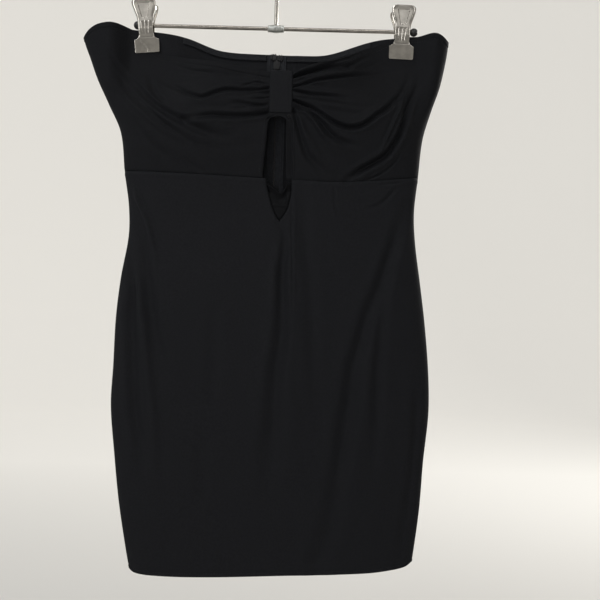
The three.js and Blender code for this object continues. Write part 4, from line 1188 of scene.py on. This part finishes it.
def stage():
    """Round floor that turns up into a dome."""
    radius, bend, sides = 3.4, 0.51, 96
    outline = [(0.5 * radius, 0), (radius - bend, 0)]
    outline += [(radius - bend + bend * math.sin(a), bend * (1 - math.cos(a)))
                for a in np.linspace(0.15, math.pi / 2, 8)]
    outline += [(radius * math.cos(a), bend + radius * math.sin(a))
                for a in np.linspace(0.1, math.pi / 2 - 0.05, 26)]
    points = [(0, 0, FLOOR_Z)]
    points += [(r * math.cos(a), r * math.sin(a), FLOOR_Z + z) for r, z in outline for a in around(sides)]
    points.append((0, 0, FLOOR_Z + bend + radius))
    last = 1 + (len(outline) - 1) * sides
    faces = [(0, 1 + k, 1 + (k + 1) % sides) for k in range(sides)]
    faces += [tuple(reversed(face)) for face in ring_faces(len(outline), sides, 1)]
    faces += [(last + (k + 1) % sides, last + k, len(points) - 1) for k in range(sides)]
    mesh = bpy.data.meshes.new("studio_dome")
    mesh.from_pydata(points, [], faces)
    mesh.materials.append(stage_material("pale_studio"))
    shade_smooth(mesh)
    linked("studio_dome", mesh)


def area_light(name, place, size, power, colour=(1, 1, 1), mirrored=True):
    """Disk light that faces the dress's middle."""
    data = bpy.data.lights.new(name, "AREA")
    data.shape = "DISK"
    data.size = size
    data.energy = power
    data.color = colour
    made = linked(name, data)
    made.visible_glossy = mirrored
    made.location = place
    made.rotation_euler = (CENTRE - Vector(place)).to_track_quat("-Z", "Y").to_euler()
    return made


def lights():
    area_light("key", (-0.7, -2.0, -0.2), 0.5, 8.4, (1, 0.97, 0.93), False)
    area_light("front", (-0.06, -1.12, -0.42), 0.3, 3, (1, 0.96, 0.91), False)
    area_light("above", (-1.2, -1.2, 0.9), 0.6, 8.5, (0.9, 0.95, 1))
    area_light("side", (-2.2, 0.2, -0.2), 1.2, 3.5, (0.85, 0.92, 1))
    area_light("back_key", (1.8, 1.1, 0.35), 0.6, 30, (1, 0.98, 0.95))
    for name, place, size, power in (("strip_left", (-1.0, -1.3, 0.1), (0.22, 1.4), 4.5),
                                     ("strip_right", (1.1, -1.2, 0.2), (0.16, 1.2), 1.8),
                                     ("card", (0.0, -2.2, -0.28), (1.8, 0.3), 0.8),
                                     ("strip_top", (0.1, -1.1, 1.1), (1.6, 0.25), 7),
                                     ("strip_back", (0.6, 1.6, 0.5), (0.3, 1.2), 4)):
        strip = area_light(name, place, 1, power)
        strip.data.shape = "RECTANGLE"
        strip.data.size, strip.data.size_y = size
        strip.visible_diffuse = False
    world = bpy.data.worlds.new("studio")
    world.use_nodes = True
    world.node_tree.nodes["Background"].inputs["Color"].default_value = (0.8, 0.8, 0.78, 1)
    bpy.context.scene.world = world


def camera():
    data = bpy.data.cameras.new("camera")
    data.sensor_width = 36
    data.lens = 48
    made = linked("camera", data)
    roll = math.radians(1.5)
    place = Matrix.Translation(CENTRE + Vector((0, -1.0, 0)))
    made.matrix_world = place @ Matrix.Rotation(math.pi / 2, 4, "X") @ Matrix.Rotation(roll, 4, "Z")
    bpy.context.scene.camera = made


bpy.context.scene.view_settings.view_transform = "Standard"
camera()
stage()
lights()
hanger_bar()
hook()
ferrule()
ball_end("bar_end_left", BAR_LEFT, -1)
ball_end("bar_end_right", BAR_RIGHT, 1)
clips()
bust_piece("left", BUST_LEFT_EDGE, -1)
bust_piece("right", BUST_RIGHT_EDGE, 1)
skirt_front()
keyhole_inset()
tab_loop()
back_piece("left", -1)
back_piece("right", 1)
zip_tape("left", -1)
zip_tape("right", 1)
tape_top("tape_top_left", -1, 142.8)
tape_top("tape_top_right", 1, 143.8)
back_band("back_band_left", -1)
back_band("back_band_right", 1)
sewing()
bar_tack()
zip_teeth()
clean_part("slider_body", "zip_slider", "zip_metal")
clean_part("pull_tab", "zip_pull", "zip_metal", body="zip_pull")
